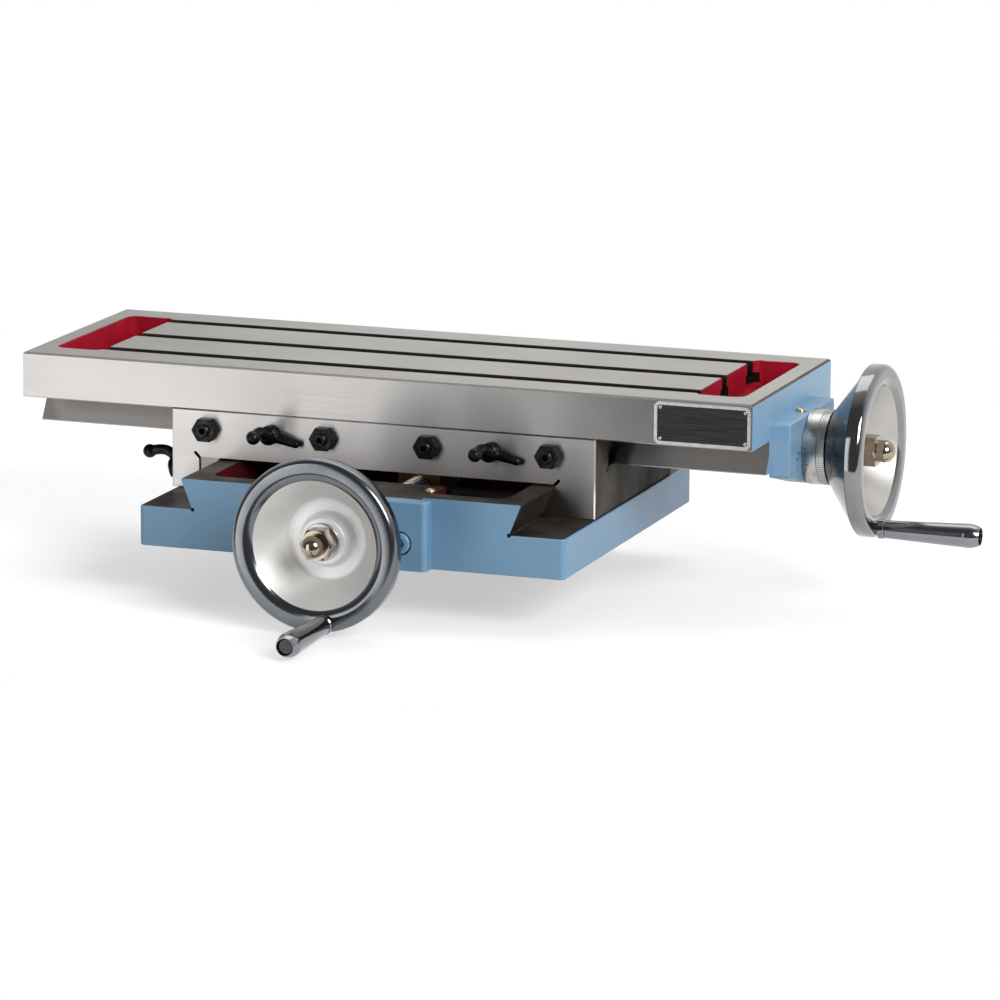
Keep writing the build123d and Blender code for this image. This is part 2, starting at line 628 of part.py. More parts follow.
def saddle():
    body = box(SADDLE_LEFT, SADDLE_RIGHT, SADDLE_FRONT, SADDLE_REAR, FLANGE_TOP + WAY_GAP, SADDLE_TOP)
    body = chamfer(body.edges().filter_by(Axis.Z), 1.0)
    rims = body.edges().filter_by(Plane.XY)
    body = chamfer(rims, SADDLE_EDGE)
    foot = FLANGE_TOP - 1
    right = cross_flank(CROSS_CEILING, WAY_GAP)
    lower = outline(
        (CROSS_GIB_WALL, foot), (CROSS_GIB_WALL, CROSS_CEILING), (right, CROSS_CEILING),
        (cross_flank(foot, WAY_GAP), foot),
    )
    lower += corner_slot(CROSS_GIB_WALL, CROSS_CEILING, 135)
    lower += corner_slot(right, CROSS_CEILING, 45)
    body -= prism_y(lower, SADDLE_FRONT - 1, SADDLE_REAR + 1)
    brim = SADDLE_TOP + 1
    rear = TABLE_CENTRE + table_flank(TABLE_FLOOR, WAY_GAP)
    upper = outline(
        (TABLE_GIB_WALL, brim), (TABLE_GIB_WALL, TABLE_FLOOR), (rear, TABLE_FLOOR),
        (TABLE_CENTRE + table_flank(brim, WAY_GAP), brim),
    )
    upper += corner_slot(TABLE_GIB_WALL, TABLE_FLOOR, -135)
    upper += corner_slot(rear, TABLE_FLOOR, -45)
    body -= prism_x(upper, SADDLE_LEFT - 1, SADDLE_RIGHT + 1)
    front_wall = SADDLE_FRONT - TABLE_GIB_WALL - 1
    side_wall = SADDLE_LEFT - CROSS_GIB_WALL - 1
    for plane in front_planes(TABLE_SET_X):
        body -= plane * rod(SET_RADIUS + FIT, front_wall, 1)
    for plane in front_planes(TABLE_LOCK_X):
        body -= plane * rod(LOCK_RADIUS + FIT, front_wall, 1)
    for plane in side_planes(CROSS_SET_Y):
        body -= plane * rod(SET_RADIUS + FIT, side_wall, 1)
    for plane in side_planes([CROSS_LOCK_Y]):
        body -= plane * rod(LOCK_RADIUS + FIT, side_wall, 1)
    for x, y in cross_nut_screw_places():
        body -= Pos(x, y, CROSS_CEILING) * rod(CROSS_NUT_CAP.radius + FIT, -1, NUT_SCREW_BITE)
    for x, y in long_nut_screw_places():
        body -= Pos(x, y, TABLE_FLOOR) * rod(LONG_NUT_CAP.radius + FIT, -NUT_SCREW_BITE, 1)
    return body


def cross_gib():
    """The gib between the saddle's left wall and the base's left flank."""
    wall = CROSS_GIB_WALL + GIB_GAP
    low = FLANGE_TOP + GIB_GAP
    high = CROSS_CEILING - GIB_GAP
    section = outline(
        (wall, low), (wall, high), (-cross_flank(high, WAY_GAP), high), (-cross_flank(low, WAY_GAP), low))
    return prism_y(section, SADDLE_FRONT + CROSS_GIB_RECESS, SADDLE_REAR - CROSS_GIB_RECESS)


def table_gib():
    """The gib between the saddle's front wall and the table's front flank."""
    wall = TABLE_GIB_WALL + GIB_GAP
    low = TABLE_FLOOR + GIB_GAP
    high = SADDLE_TOP - GIB_GAP
    inner_low = TABLE_CENTRE - table_flank(low, WAY_GAP)
    inner_high = TABLE_CENTRE - table_flank(high, WAY_GAP)
    section = outline((wall, low), (wall, high), (inner_high, high), (inner_low, low))
    return prism_x(section, SADDLE_LEFT + TABLE_GIB_RECESS, SADDLE_RIGHT - TABLE_GIB_RECESS)


def set_screw(tip):
    body = turned(
        (0, tip), (SET_RADIUS - 1, tip), (SET_RADIUS, tip + 1), (SET_RADIUS, SET_PROUD - 1),
        (SET_RADIUS - 1, SET_PROUD), (0, SET_PROUD),
    )
    return body - socket(SET_SOCKET, SET_SOCKET, SET_PROUD)


def locknut():
    return hexagon(LOCKNUT_FLATS, 0, LOCKNUT_THICK) - rod(SET_RADIUS + FIT, -1, LOCKNUT_THICK + 1)


def lock_lever(tip, angle):
    """A lock screw in one piece with its hub, arched grip with a knob, and side arm."""
    stud_end = tip + LOCK_PLUG
    hub = chamfer(rod(LEVER_HUB, GIB_GAP, LEVER_HUB_LENGTH).edges().sort_by(Axis.Z)[-1], LEVER_HUB / 5)
    body = rod(LOCK_RADIUS, stud_end, GIB_GAP + 1) + hub
    start = LEVER_HUB_LENGTH - 2
    arch = Spline(
        (0, 0, start), (0, LEVER_ARCH, (start + LEVER_REACH) / 2), (0, LEVER_END_RISE, LEVER_REACH),
        tangents=[(0, 0, 1), (0, -0.3, 1)],
    )
    grip = sweep(Plane((0, 0, start)) * Circle(LEVER_NECK), arch)
    grip += Pos(0, LEVER_END_RISE, LEVER_REACH) * Sphere(LEVER_KNOB)
    arm = turned(
        (0, 0), (LEVER_ARM * 1.5, 0), (LEVER_ARM, LEVER_ARM_REACH), (0, LEVER_ARM_REACH))
    arm = fillet(arm.edges().sort_by(Axis.Z)[-1], LEVER_ARM * 0.7)
    direction = (cos(radians(angle)), sin(radians(angle)), 0)
    return body + grip + Plane((0, 0, LEVER_HUB_LENGTH / 2), z_dir=direction) * arm


def lock_plug(tip):
    return rod(LOCK_RADIUS, tip, tip + LOCK_PLUG)


FRONT_TIP = SADDLE_FRONT - TABLE_GIB_WALL - GIB_GAP
SIDE_TIP = SADDLE_LEFT - CROSS_GIB_WALL - GIB_GAP


# Nuts of the two feed screws

def cross_nut_screw_places():
    return [(x, CROSS_NUT_Y) for x in (-CROSS_NUT_SCREW, CROSS_NUT_SCREW)]


def long_nut_screw_places():
    return [(LONG_NUT_X + x, TABLE_CENTRE + y)
            for x in (-LONG_NUT_SCREW_X, LONG_NUT_SCREW_X) for y in (-LONG_NUT_SCREW_Y, LONG_NUT_SCREW_Y)]


def cross_nut():
    """A flanged bronze nut that hangs from the saddle's web round the cross screw."""
    flange_low = CROSS_CEILING - CROSS_NUT_FLANGE_THICK
    section = Pos(0, CROSS_SCREW_Z) * Circle(CROSS_NUT_BODY)
    section += outline(
        (-CROSS_NUT_BODY, CROSS_SCREW_Z), (-CROSS_NUT_BODY, flange_low), (-CROSS_NUT_FLANGE, flange_low),
        (-CROSS_NUT_FLANGE, CROSS_CEILING), (CROSS_NUT_FLANGE, CROSS_CEILING),
        (CROSS_NUT_FLANGE, flange_low), (CROSS_NUT_BODY, flange_low), (CROSS_NUT_BODY, CROSS_SCREW_Z),
    )
    section -= Pos(0, CROSS_SCREW_Z) * Circle(SCREW_RADIUS + SCREW_RUN)
    nut = prism_y(section, CROSS_NUT_Y - NUT_HALF_LENGTH, CROSS_NUT_Y + NUT_HALF_LENGTH)
    for x, y in cross_nut_screw_places():
        nut -= Pos(x, y) * rod(CROSS_NUT_CAP.hole_radius, flange_low - 1, CROSS_CEILING + 1)
    return nut


def cross_nut_screws():
    seat = CROSS_CEILING - CROSS_NUT_FLANGE_THICK
    length = CROSS_NUT_FLANGE_THICK + NUT_SCREW_BITE - 1
    return [Plane((x, y, seat), z_dir=(0, 0, -1)) * CROSS_NUT_CAP.solid(length)
            for x, y in cross_nut_screw_places()]


def long_nut():
    """A bronze block bolted to the saddle's web, in the table's channel round the long screw."""
    top = LONG_SCREW_Z + LONG_NUT_RISE
    x0, x1 = LONG_NUT_X - NUT_HALF_LENGTH, LONG_NUT_X + NUT_HALF_LENGTH
    y0, y1 = TABLE_CENTRE - LONG_NUT_HALF_WIDTH, TABLE_CENTRE + LONG_NUT_HALF_WIDTH
    nut = box(x0, x1, y0, y1, TABLE_FLOOR, top)
    nut -= LONG_DRIVE * rod(SCREW_RADIUS + SCREW_RUN, x0 - LONG_FACE - 1, x1 - LONG_FACE + 1)
    for x, y in long_nut_screw_places():
        nut -= Pos(x, y, top) * screw_hole(LONG_NUT_CAP, top - TABLE_FLOOR)
    return nut


def long_nut_screws():
    top = LONG_SCREW_Z + LONG_NUT_RISE
    length = top - TABLE_FLOOR + NUT_SCREW_BITE - 1
    return [Pos(x, y, top) * LONG_NUT_CAP.solid(length) for x, y in long_nut_screw_places()]


# Table and its end bracket

def slot_centres():
    return [TABLE_CENTRE + step * SLOT_PITCH for step in (-1, 0, 1)]


def table():
    body = box(TABLE_LEFT, TABLE_RIGHT, TABLE_FRONT, TABLE_BACK, SADDLE_TOP + WAY_GAP, TABLE_TOP)
    body = chamfer(body.faces().sort_by(Axis.Z)[-1].edges(), TOP_CHAMFER)
    body = chamfer(body.faces().sort_by(Axis.Z)[0].edges().filter_by(Axis.X), TABLE_EDGE)
    low = TABLE_WAY_BOTTOM + WAY_CHAMFER
    inner = TABLE_WAY_HALF - WAY_CHAMFER
    brim = SADDLE_TOP + 1
    way = outline(
        (-table_flank(brim), brim), (-table_flank(low), low), (-inner, TABLE_WAY_BOTTOM),
        (inner, TABLE_WAY_BOTTOM), (table_flank(low), low), (table_flank(brim), brim),
    )
    body += prism_x(Pos(TABLE_CENTRE, 0) * way, TABLE_LEFT, TABLE_RIGHT)
    body -= box(
        TABLE_LEFT - 1, TABLE_RIGHT + 1, TABLE_CENTRE - CHANNEL_HALF, TABLE_CENTRE + CHANNEL_HALF,
        TABLE_WAY_BOTTOM - 1, CHANNEL_TOP)
    left = TABLE_LEFT + TROUGH_END_WALL
    right = TABLE_RIGHT - TROUGH_END_WALL
    trough_length = TABLE_BACK - TABLE_FRONT - 2 * TROUGH_SIDE_WALL
    trough = extrude(RectangleRounded(TROUGH_WIDTH, trough_length, TROUGH_CORNER), TROUGH_DEPTH + 1)
    for x in (left + TROUGH_WIDTH / 2, right - TROUGH_WIDTH / 2):
        body -= Pos(x, TABLE_CENTRE, TABLE_TOP - TROUGH_DEPTH) * trough
    neck_floor = TABLE_TOP - SLOT_NECK_DEPTH
    inside = TROUGH_WIDTH / 2
    for y in slot_centres():
        body -= box(left + inside, right - inside, y - SLOT_NECK / 2, y + SLOT_NECK / 2,
                    neck_floor - 1, TABLE_TOP + 1)
        body -= box(left + inside, right - inside, y - SLOT_WIDE / 2, y + SLOT_WIDE / 2,
                    SLOT_FLOOR, neck_floor)
    mouths = [
        e for e in body.edges().filter_by_position(Axis.Z, TABLE_TOP - 0.01, TABLE_TOP + 0.01)
        if abs(e.center().Y - TABLE_CENTRE) < TABLE_WIDTH / 2 - TROUGH_SIDE_WALL + 1
        and abs(e.center().X - TABLE_MIDDLE) < TABLE_LENGTH / 2 - TROUGH_END_WALL + 1]
    body = chamfer(mouths, SLOT_CHAMFER)
    drain = rod(DRAIN_RADIUS, TABLE_WAY_BOTTOM - 1, TABLE_TOP)
    body -= Pos(left + TROUGH_WIDTH / 2, TABLE_BACK - DRAIN_FROM_BACK) * drain
    for plane in bracket_screw_planes():
        body -= plane * rod(BRACKET_SCREW.radius + FIT, -BRACKET_SCREW_BITE - BRACKET_THICK, 0)
    return body


def bracket_screw_planes():
    """The seats of the end bracket's screws, on the bracket's outer face."""
    return [Plane((LONG_FACE, TABLE_CENTRE + y, BRACKET_SCREW_Z), x_dir=(0, 1, 0), z_dir=(1, 0, 0))
            for y in (-BRACKET_SCREW_OFFSET, BRACKET_SCREW_OFFSET)]


def table_end_bracket():
    """The plate on the table's right end that carries the long screw's bearings."""
    lobe = Pos(TABLE_CENTRE, LONG_SCREW_Z) * Circle(BRACKET_LOBE)
    height = BRACKET_TOP - BRACKET_SHOULDER
    shoulders = RectangleRounded(2 * BRACKET_HALF, height, BRACKET_CORNER)
    shoulders = Pos(TABLE_CENTRE, (BRACKET_TOP + BRACKET_SHOULDER) / 2) * shoulders
    below_top = Pos(TABLE_CENTRE, BRACKET_TOP / 2) * Rectangle(4 * BRACKET_HALF, BRACKET_TOP)
    section = make_hull(lobe.edges() + shoulders.edges()) & below_top
    body = prism_x(section, TABLE_RIGHT, LONG_FACE)
    body = fillet(body.faces().sort_by(Axis.X)[-1].outer_wire().edges(), 1.2)
    body -= LONG_DRIVE * housing_bore(BRACKET_THICK)
    for plane in bracket_screw_planes():
        body -= plane * screw_hole(BRACKET_SCREW, BRACKET_THICK)
    return body - bracket_oil_place() * oil_hole()


def bracket_oil_place():
    return Pos(TABLE_RIGHT + BRACKET_THICK / 2, TABLE_CENTRE + BRACKET_OIL_SHIFT, BRACKET_TOP)


def name_plate():
    """A bare plate with a raised rim, on the table's front face."""
    face = Plane((PLATE_CENTRE_X, TABLE_FRONT, PLATE_CENTRE_Z), x_dir=(1, 0, 0), z_dir=(0, -1, 0))
    sheet = RectangleRounded(PLATE_WIDTH, PLATE_HEIGHT, PLATE_CORNER)
    panel = RectangleRounded(
        PLATE_WIDTH - 2 * PLATE_RIM, PLATE_HEIGHT - 2 * PLATE_RIM, PLATE_CORNER - PLATE_RIM)
    plate = extrude(sheet, PLATE_THICK) + extrude(sheet - panel, PLATE_THICK + PLATE_RIM_PROUD)
    return face * plate


def drive_nodes(name, place, housing, free_end, angle):
    """The turned pieces of one feed screw, from its bearings to its crank handle."""
    pieces = {
        "screw": screw(housing, free_end),
        "screw_bush": bush(housing),
        "thrust_bearings": thrust_bearings(housing),
        "handwheel": handwheel(angle),
        "wheel_key": wheel_key(),
        "wheel_washer": wheel_washer(),
        "wheel_nut": wheel_nut(),
        "handle_spindle": handle_spindle(angle),
        "handle_grip": handle_grip(angle),
        "dial": dial(),
    }
    placed = {}
    for piece, shape in pieces.items():
        solids = shape if isinstance(shape, list) else [shape]
        placed[f"{name}_{piece}"] = [place * solid for solid in solids]
    return placed


NODES = {
    "base": [base()],
    "cross_bearing_plate": [cross_bearing_plate()],
    "cross_plate_screws": [
        plane * PLATE_SCREW.solid(CROSS_PLATE_THICK + PLATE_SCREW_BITE - 2)
        for plane in plate_screw_planes()],
    "base_oil_cup": [Pos(*BASE_OIL, BOSS_TOP) * oil_cup()],
    "saddle": [saddle()],
    "table_gib": [table_gib()],
    "table_gib_screws": [plane * set_screw(FRONT_TIP) for plane in front_planes(TABLE_SET_X)],
    "table_gib_locknuts": [plane * locknut() for plane in front_planes(TABLE_SET_X)],
    "table_lock_plugs": [plane * lock_plug(FRONT_TIP) for plane in front_planes(TABLE_LOCK_X)],
    "table_lock_lever_left": [front_planes(TABLE_LOCK_X)[0] * lock_lever(FRONT_TIP, FRONT_ARM_ANGLE)],
    "table_lock_lever_right": [front_planes(TABLE_LOCK_X)[1] * lock_lever(FRONT_TIP, FRONT_ARM_ANGLE)],
    "cross_gib": [cross_gib()],
    "cross_gib_screws": [plane * set_screw(SIDE_TIP) for plane in side_planes(CROSS_SET_Y)],
    "cross_gib_locknuts": [plane * locknut() for plane in side_planes(CROSS_SET_Y)],
    "cross_lock_plug": [plane * lock_plug(SIDE_TIP) for plane in side_planes([CROSS_LOCK_Y])],
    "cross_lock_lever": [
        plane * lock_lever(SIDE_TIP, SIDE_ARM_ANGLE) for plane in side_planes([CROSS_LOCK_Y])],
    "cross_nut": [cross_nut()],
    "cross_nut_screws": cross_nut_screws(),
    "long_nut": [long_nut()],
    "long_nut_screws": long_nut_screws(),
    "table": [table()],
    "table_end_bracket": [table_end_bracket()],
    "bracket_screws": [
        plane * BRACKET_SCREW.solid(BRACKET_THICK + BRACKET_SCREW_BITE - 2)
        for plane in bracket_screw_planes()],
    "bracket_oil_cup": [bracket_oil_place() * oil_cup()],
    "name_plate": [name_plate()],
}
NODES |= drive_nodes("cross", CROSS_DRIVE, CROSS_HOUSING, CROSS_FACE - CROSS_SCREW_END, CROSS_HANDLE_ANGLE)
NODES |= drive_nodes("long", LONG_DRIVE, BRACKET_THICK, LONG_SCREW_END - LONG_FACE, LONG_HANDLE_ANGLE)

os.makedirs("parts", exist_ok=True)
for node, shapes in NODES.items():
    solids = [solid for shape in shapes for solid in shape.solids()]
    export_step(Compound(solids) if len(solids) > 1 else solids[0], f"parts/{node}.step")
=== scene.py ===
from math import cos, pi, radians, sin

import bmesh
import bpy
from mathutils import Matrix, Vector


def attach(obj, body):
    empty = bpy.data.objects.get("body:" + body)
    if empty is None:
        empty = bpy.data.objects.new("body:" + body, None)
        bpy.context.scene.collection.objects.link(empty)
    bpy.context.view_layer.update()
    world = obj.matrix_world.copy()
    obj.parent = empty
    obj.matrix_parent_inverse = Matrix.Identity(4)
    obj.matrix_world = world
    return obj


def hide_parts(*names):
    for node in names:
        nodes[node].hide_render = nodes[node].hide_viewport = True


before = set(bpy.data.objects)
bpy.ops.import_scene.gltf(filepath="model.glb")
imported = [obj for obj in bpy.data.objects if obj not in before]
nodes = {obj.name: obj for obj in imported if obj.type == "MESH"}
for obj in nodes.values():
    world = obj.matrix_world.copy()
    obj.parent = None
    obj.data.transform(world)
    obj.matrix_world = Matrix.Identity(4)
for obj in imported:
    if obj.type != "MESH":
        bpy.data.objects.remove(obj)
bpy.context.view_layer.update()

# The object's sizes below are in millimetres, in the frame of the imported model. X runs along the
# table, Y points away from the operator and Z points up. The stage, camera and lamps are in metres.
MM = 0.001

# How far a face's middle may lie from a named size and still count as being there
MARGIN = 0.1

# The two screw lines: the face of each bearing housing, and the screw's height
CROSS_FACE = -168.0
CROSS_SCREW_Z = 27.0
LONG_FACE = 304.5
LONG_SCREW_Z = 78.0

# Base casting
BASE_HALF = 169.0
PAINTED_RIM = 2.0
FLANGE_TOP = 30.3
BELOW_ROOT_SLOT = 27.0
BOSS_TOP = 52.0
CROSS_WAY_TOP = 53.5
CROSS_WAY_HALF = 135.0
WELL_HALF = 117.5
WELL_FRONT = -133.0
WELL_REAR = 136.0
BENCH_HOLE_X = 147.0
BENCH_HOLE_Y = 60.0
BENCH_BORE_RADIUS = 10.0

# Saddle casting
SADDLE_LEFT = -173.0
SADDLE_RIGHT = 167.0
SADDLE_FRONT = -76.0
SADDLE_REAR = 106.0

# Table casting with its T-slots and troughs
TABLE_LEFT = -296.5
TABLE_RIGHT = 288.5
TABLE_CENTRE = 24.0
TABLE_TOP = 126.0
SLAB_BOTTOM = 91.0
TOP_CHAMFER = 1.5
SLOT_FLOOR = 109.0
TROUGH_FLOOR = 106.0
TROUGH_HALF = 19.0
TROUGH_END_WALL = 15.5
TROUGH_REACH = 73.5

# Handwheel, with heights from the face of its bearing housing
WHEEL_BORE = 7.05
NOSE_RADIUS = 15.0
NOSE_LENGTH = 17.5
HUB_BACK_RADIUS = 28.0
WHEEL_RADIUS = 65.0
WHEEL_FACE = 56.0
RIM_BACK = 43.5
RIM_SHOULDER = 63.0
RIM_INNER = 50.5
RIM_ROUND = 4.9
BOWL_EDGE = 48.6
BOWL_FLOOR = 25.0
BOWL_FLOOR_RADIUS = 31.0
SEAT_ROOT = 20.0
SEAT_RADIUS = 17.5
SEAT_FACE = 36.0
WASHER_BORE = 6.05
WASHER_RADIUS = 14.0
WASHER_THICK = 3.0

# Feed screws, with heights from the face of the bearing housing
LEAD = 5.0
THREAD_ROOT = 7.2
THREAD_CREST = 10.0
COLLAR_RADIUS = 12.0
COLLAR_LENGTH = 6.0
JOURNAL_RADIUS = 8.5
JOURNAL_END = -1.0
WHEEL_SEAT_RADIUS = 7.0
WHEEL_SEAT_END = 35.0
END_RADIUS = 6.0
SCREW_TIP = 52.5

# Dials, with heights from the same face
DIAL_BORE = 15.05
DIAL_RADIUS = 28.5
DIAL_START = 0.5
DIAL_END = 17.2
GROOVE_RADIUS = 27.7
GROOVE_START = 10.8
GROOVE_END = 12.4
GROOVE_SLOPE = 0.4
DIAL_STEPS = 200
GRADUATIONS = 100
FIGURES = 10
FIGURE_HEIGHT = 3.4
FIGURE_PLACE = 9.9

# Crank pins, lock levers, oilers and the name plate
PIN_HEAD_START = 115.0
LEVER_GRAIN = 0.55
BASE_OILER = (53.0, -120.0, 52.0)
BRACKET_OILER = (296.5, 20.0, 104.7)
BALL_RADIUS = 1.6
PLATE_CENTRE = (250.2, -77.0, 108.2)
PLATE_FIELD_HALVES = (35.5, 14.3)
PLATE_FIELD_FACE = -77.3
RIVET_FROM_CENTRE = (32.9, 11.7)

# Stage, in metres
FLOOR_HEIGHT = -0.0415
FLOOR_HALF = 2.6
FLOOR_FRONT = -0.38
FLOOR_BACK = 0.82
STAND_CENTRE = (-0.0125, 0.0955, -0.0209)
STAND_SIZE = (0.235, 0.101, 0.0412)
STAND_EDGE = 0.002
# Dark top of the stand and the sheet under the base: painted shade
SHADE_TOP_THICK = 0.003
SHEET_CENTRE = (0, 0, -0.0016)
SHEET_SIZE = (0.316, 0.276, 0.001)

# The photograph's viewpoint in degrees and metres, and its lens and sensor width in millimetres
VIEW_AZIMUTH = 19.67
VIEW_ELEVATION = 11.97
VIEW_ROLL = 0.35
VIEW_TARGET = (0.06498, 0, 0.0228)
VIEW_DISTANCE = 4.5636
VIEW_LENS = 216.0
VIEW_SENSOR = 36.0

# Each lamp's place, what it points at, its width and height, and how bright its face is
OBJECT_MIDDLE = (0, 0, 0.05)
LAMPS = {
    "left_strip": ((-1.90, -3.07, 0.20), (-1.90, 0, 0.20), 1.00, 2.80, 2.35),
    "left_strip_edge": ((-1.165, -3.07, 0.20), (-1.165, 0, 0.20), 0.47, 2.80, 1.95),
    "right_key": ((2.4, -1.9, 1.7), OBJECT_MIDDLE, 1.5, 1.5, 15.0),
    "overhead": ((0.0, 0.9, 2.3), OBJECT_MIDDLE, 2.2, 1.4, 1.6),
}


# Places of the two screw lines, with local Z outward from each bearing housing's face

def drive_place(origin, across, outward):
    """A matrix whose X is across and whose Z points out of the housing towards the handwheel."""
    z = Vector(outward)
    x = Vector(across)
    place = Matrix((x, z.cross(x), z)).transposed().to_4x4()
    place.translation = Vector(origin) * MM
    return place


DRIVES = {
    "cross": drive_place((0, CROSS_FACE, CROSS_SCREW_Z), (1, 0, 0), (0, -1, 0)),
    "long": drive_place((LONG_FACE, TABLE_CENTRE, LONG_SCREW_Z), (0, 1, 0), (1, 0, 0)),
}

# Each drive's feed screw, from its housing's face: free end, face of its collar, and hand
FEED_SCREWS = {"cross": (-290.0, -18.0, -1), "long": (-566.5, -16.0, 1)}


# Node materials

def new_material(name):
    material = bpy.data.materials.new(name)
    material.use_nodes = True
    tree = material.node_tree
    return material, tree, tree.nodes["Principled BSDF"]


def stretched_place(tree, stretch=(1, 1, 1)):
    """Object coordinates in metres, each axis multiplied, so that a pattern is finer along it."""
    source = tree.nodes.new("ShaderNodeTexCoord").outputs["Object"]
    mapping = tree.nodes.new("ShaderNodeMapping")
    mapping.inputs["Scale"].default_value = stretch
    tree.links.new(source, mapping.inputs["Vector"])
    return mapping.outputs["Vector"]


def noise(tree, scale, detail=3.0, stretch=(1, 1, 1)):
    texture = tree.nodes.new("ShaderNodeTexNoise")
    texture.inputs["Scale"].default_value = scale
    texture.inputs["Detail"].default_value = detail
    tree.links.new(stretched_place(tree, stretch), texture.inputs["Vector"])
    return texture.outputs["Fac"]


def remap(tree, value, low, high, to_low=0.0, to_high=1.0):
    node = tree.nodes.new("ShaderNodeMapRange")
    for socket, number in (("From Min", low), ("From Max", high), ("To Min", to_low), ("To Max", to_high)):
        node.inputs[socket].default_value = number
    tree.links.new(value, node.inputs["Value"])
    return node.outputs["Result"]


def calculated(tree, operation, first, second=0.0, third=0.0):
    node = tree.nodes.new("ShaderNodeMath")
    node.operation = operation
    for socket, value in zip(node.inputs, (first, second, third)):
        if isinstance(value, (int, float)):
            socket.default_value = value
        else:
            tree.links.new(value, socket)
    return node.outputs["Value"]


def blended(tree, share, first, second):
    """A colour that goes from the first to the second with the share."""
    node = tree.nodes.new("ShaderNodeMix")
    node.data_type = "RGBA"
    tree.links.new(share, node.inputs[0])
    for socket, colour in zip([s for s in node.inputs if s.type == "RGBA"], (first, second)):
        if isinstance(colour, tuple):
            socket.default_value = (*colour, 1.0)
        else:
            tree.links.new(colour, socket)
    return [socket for socket in node.outputs if socket.type == "RGBA"][0]


def relief(tree, shader, height, strength, depth):
    """A bump of a height pattern, with its depth in metres."""
    node = tree.nodes.new("ShaderNodeBump")
    node.inputs["Strength"].default_value = strength
    node.inputs["Distance"].default_value = depth
    tree.links.new(height, node.inputs["Height"])
    tree.links.new(node.outputs["Normal"], shader.inputs["Normal"])


def rubbed_edge(tree, width):
    """One along edges that face outward, broken up where the wear misses them."""
    bevel = tree.nodes.new("ShaderNodeBevel")
    bevel.samples = 4
    bevel.inputs["Radius"].default_value = width
    geometry = tree.nodes.new("ShaderNodeNewGeometry")
    dot = tree.nodes.new("ShaderNodeVectorMath")
    dot.operation = "DOT_PRODUCT"
    tree.links.new(bevel.outputs["Normal"], dot.inputs[0])
    tree.links.new(geometry.outputs["Normal"], dot.inputs[1])
    edge = remap(tree, dot.outputs["Value"], 0.995, 0.90)
    return calculated(tree, "MULTIPLY", edge, remap(tree, noise(tree, 300.0, 3.0), 0.38, 0.62))


def edge_worn(tree, tone, width, strength, worn):
    """A tone that goes to the worn colour along rubbed edges."""
    return blended(tree, calculated(tree, "MULTIPLY", rubbed_edge(tree, width), strength), tone, worn)


def mixed(tree, first, second, share):
    """Two patterns added, the second with the given share."""
    return calculated(tree, "MULTIPLY_ADD", first, 1 - share, calculated(tree, "MULTIPLY", second, share))


def tangent_round(tree, shader, axis):
    tangent = tree.nodes.new("ShaderNodeTangent")
    tangent.direction_type = "RADIAL"
    tangent.axis = axis
    tree.links.new(tangent.outputs["Tangent"], shader.inputs["Tangent"])


def enamel(name, colour, dark, rubbed, gloss=0.36, shine=0.5):
    """Sprayed enamel over a filled casting: faint clouds, orange peel, thinner on the edges."""
    material, tree, shader = new_material(name)
    cloud = noise(tree, 22.0, 4.0)
    tone = blended(tree, remap(tree, cloud, 0.35, 0.7), dark, colour)
    tree.links.new(edge_worn(tree, tone, 0.0011, 0.45, rubbed), shader.inputs["Base Color"])
    tree.links.new(remap(tree, cloud, 0.3, 0.7, gloss - 0.03, gloss + 0.08), shader.inputs["Roughness"])
    shader.inputs["Specular IOR Level"].default_value = shine
    peel = calculated(tree, "MULTIPLY_ADD", noise(tree, 420.0, 2.0), 0.25, noise(tree, 60.0, 3.0))
    relief(tree, shader, peel, 0.2, 0.00012)
    return material


def ground_iron(name, colour, dark, rough, spread=0.95):
    """Iron ground along X: fine scratches, faint clouds, gloss drawn out across the strokes."""
    material, tree, shader = new_material(name)
    scratches = noise(tree, 1.0, 2.0, (9, 1500, 1500))
    mix = mixed(tree, scratches, noise(tree, 12.0, 3.0), 0.5)
    tone = blended(tree, remap(tree, mix, 0.36, 0.64), dark, colour)
    bright = tuple(min(channel * 1.5, 0.7) for channel in colour)
    tree.links.new(edge_worn(tree, tone, 0.0007, 0.6, bright), shader.inputs["Base Color"])
    shader.inputs["Metallic"].default_value = 1.0
    shader.inputs["Anisotropic"].default_value = spread
    tree.links.new(remap(tree, mix, 0.35, 0.65, rough * 1.08, rough * 0.94), shader.inputs["Roughness"])
    tangent_round(tree, shader, "X")
    return material


def milled_iron(name, colour, dark, rough):
    """Iron left from the milling cutter or dark with oil, without a clear lay."""
    material, tree, shader = new_material(name)
    marks = noise(tree, 700.0, 2.0)
    mix = mixed(tree, noise(tree, 35.0, 4.0), marks, 0.35)
    tree.links.new(blended(tree, remap(tree, mix, 0.36, 0.64), dark, colour), shader.inputs["Base Color"])
    shader.inputs["Metallic"].default_value = 1.0
    tree.links.new(remap(tree, mix, 0.35, 0.65, rough * 1.15, rough * 0.88), shader.inputs["Roughness"])
    relief(tree, shader, marks, 0.12, 0.00004)
    return material


def oiled_iron_painted_shade(name, colour, dark, shine, rough):
    """Iron faces under old oil, darkened further in colour as painted shade where they lie under other
    parts.
    """
    material, tree, shader = new_material(name)
    cloud = noise(tree, 28.0, 4.0)
    tree.links.new(blended(tree, remap(tree, cloud, 0.36, 0.64), dark, colour), shader.inputs["Base Color"])
    shader.inputs["Specular IOR Level"].default_value = shine
    tree.links.new(remap(tree, cloud, 0.35, 0.65, rough * 1.15, rough * 0.85), shader.inputs["Roughness"])
    relief(tree, shader, cloud, 0.1, 0.00005)
    return material


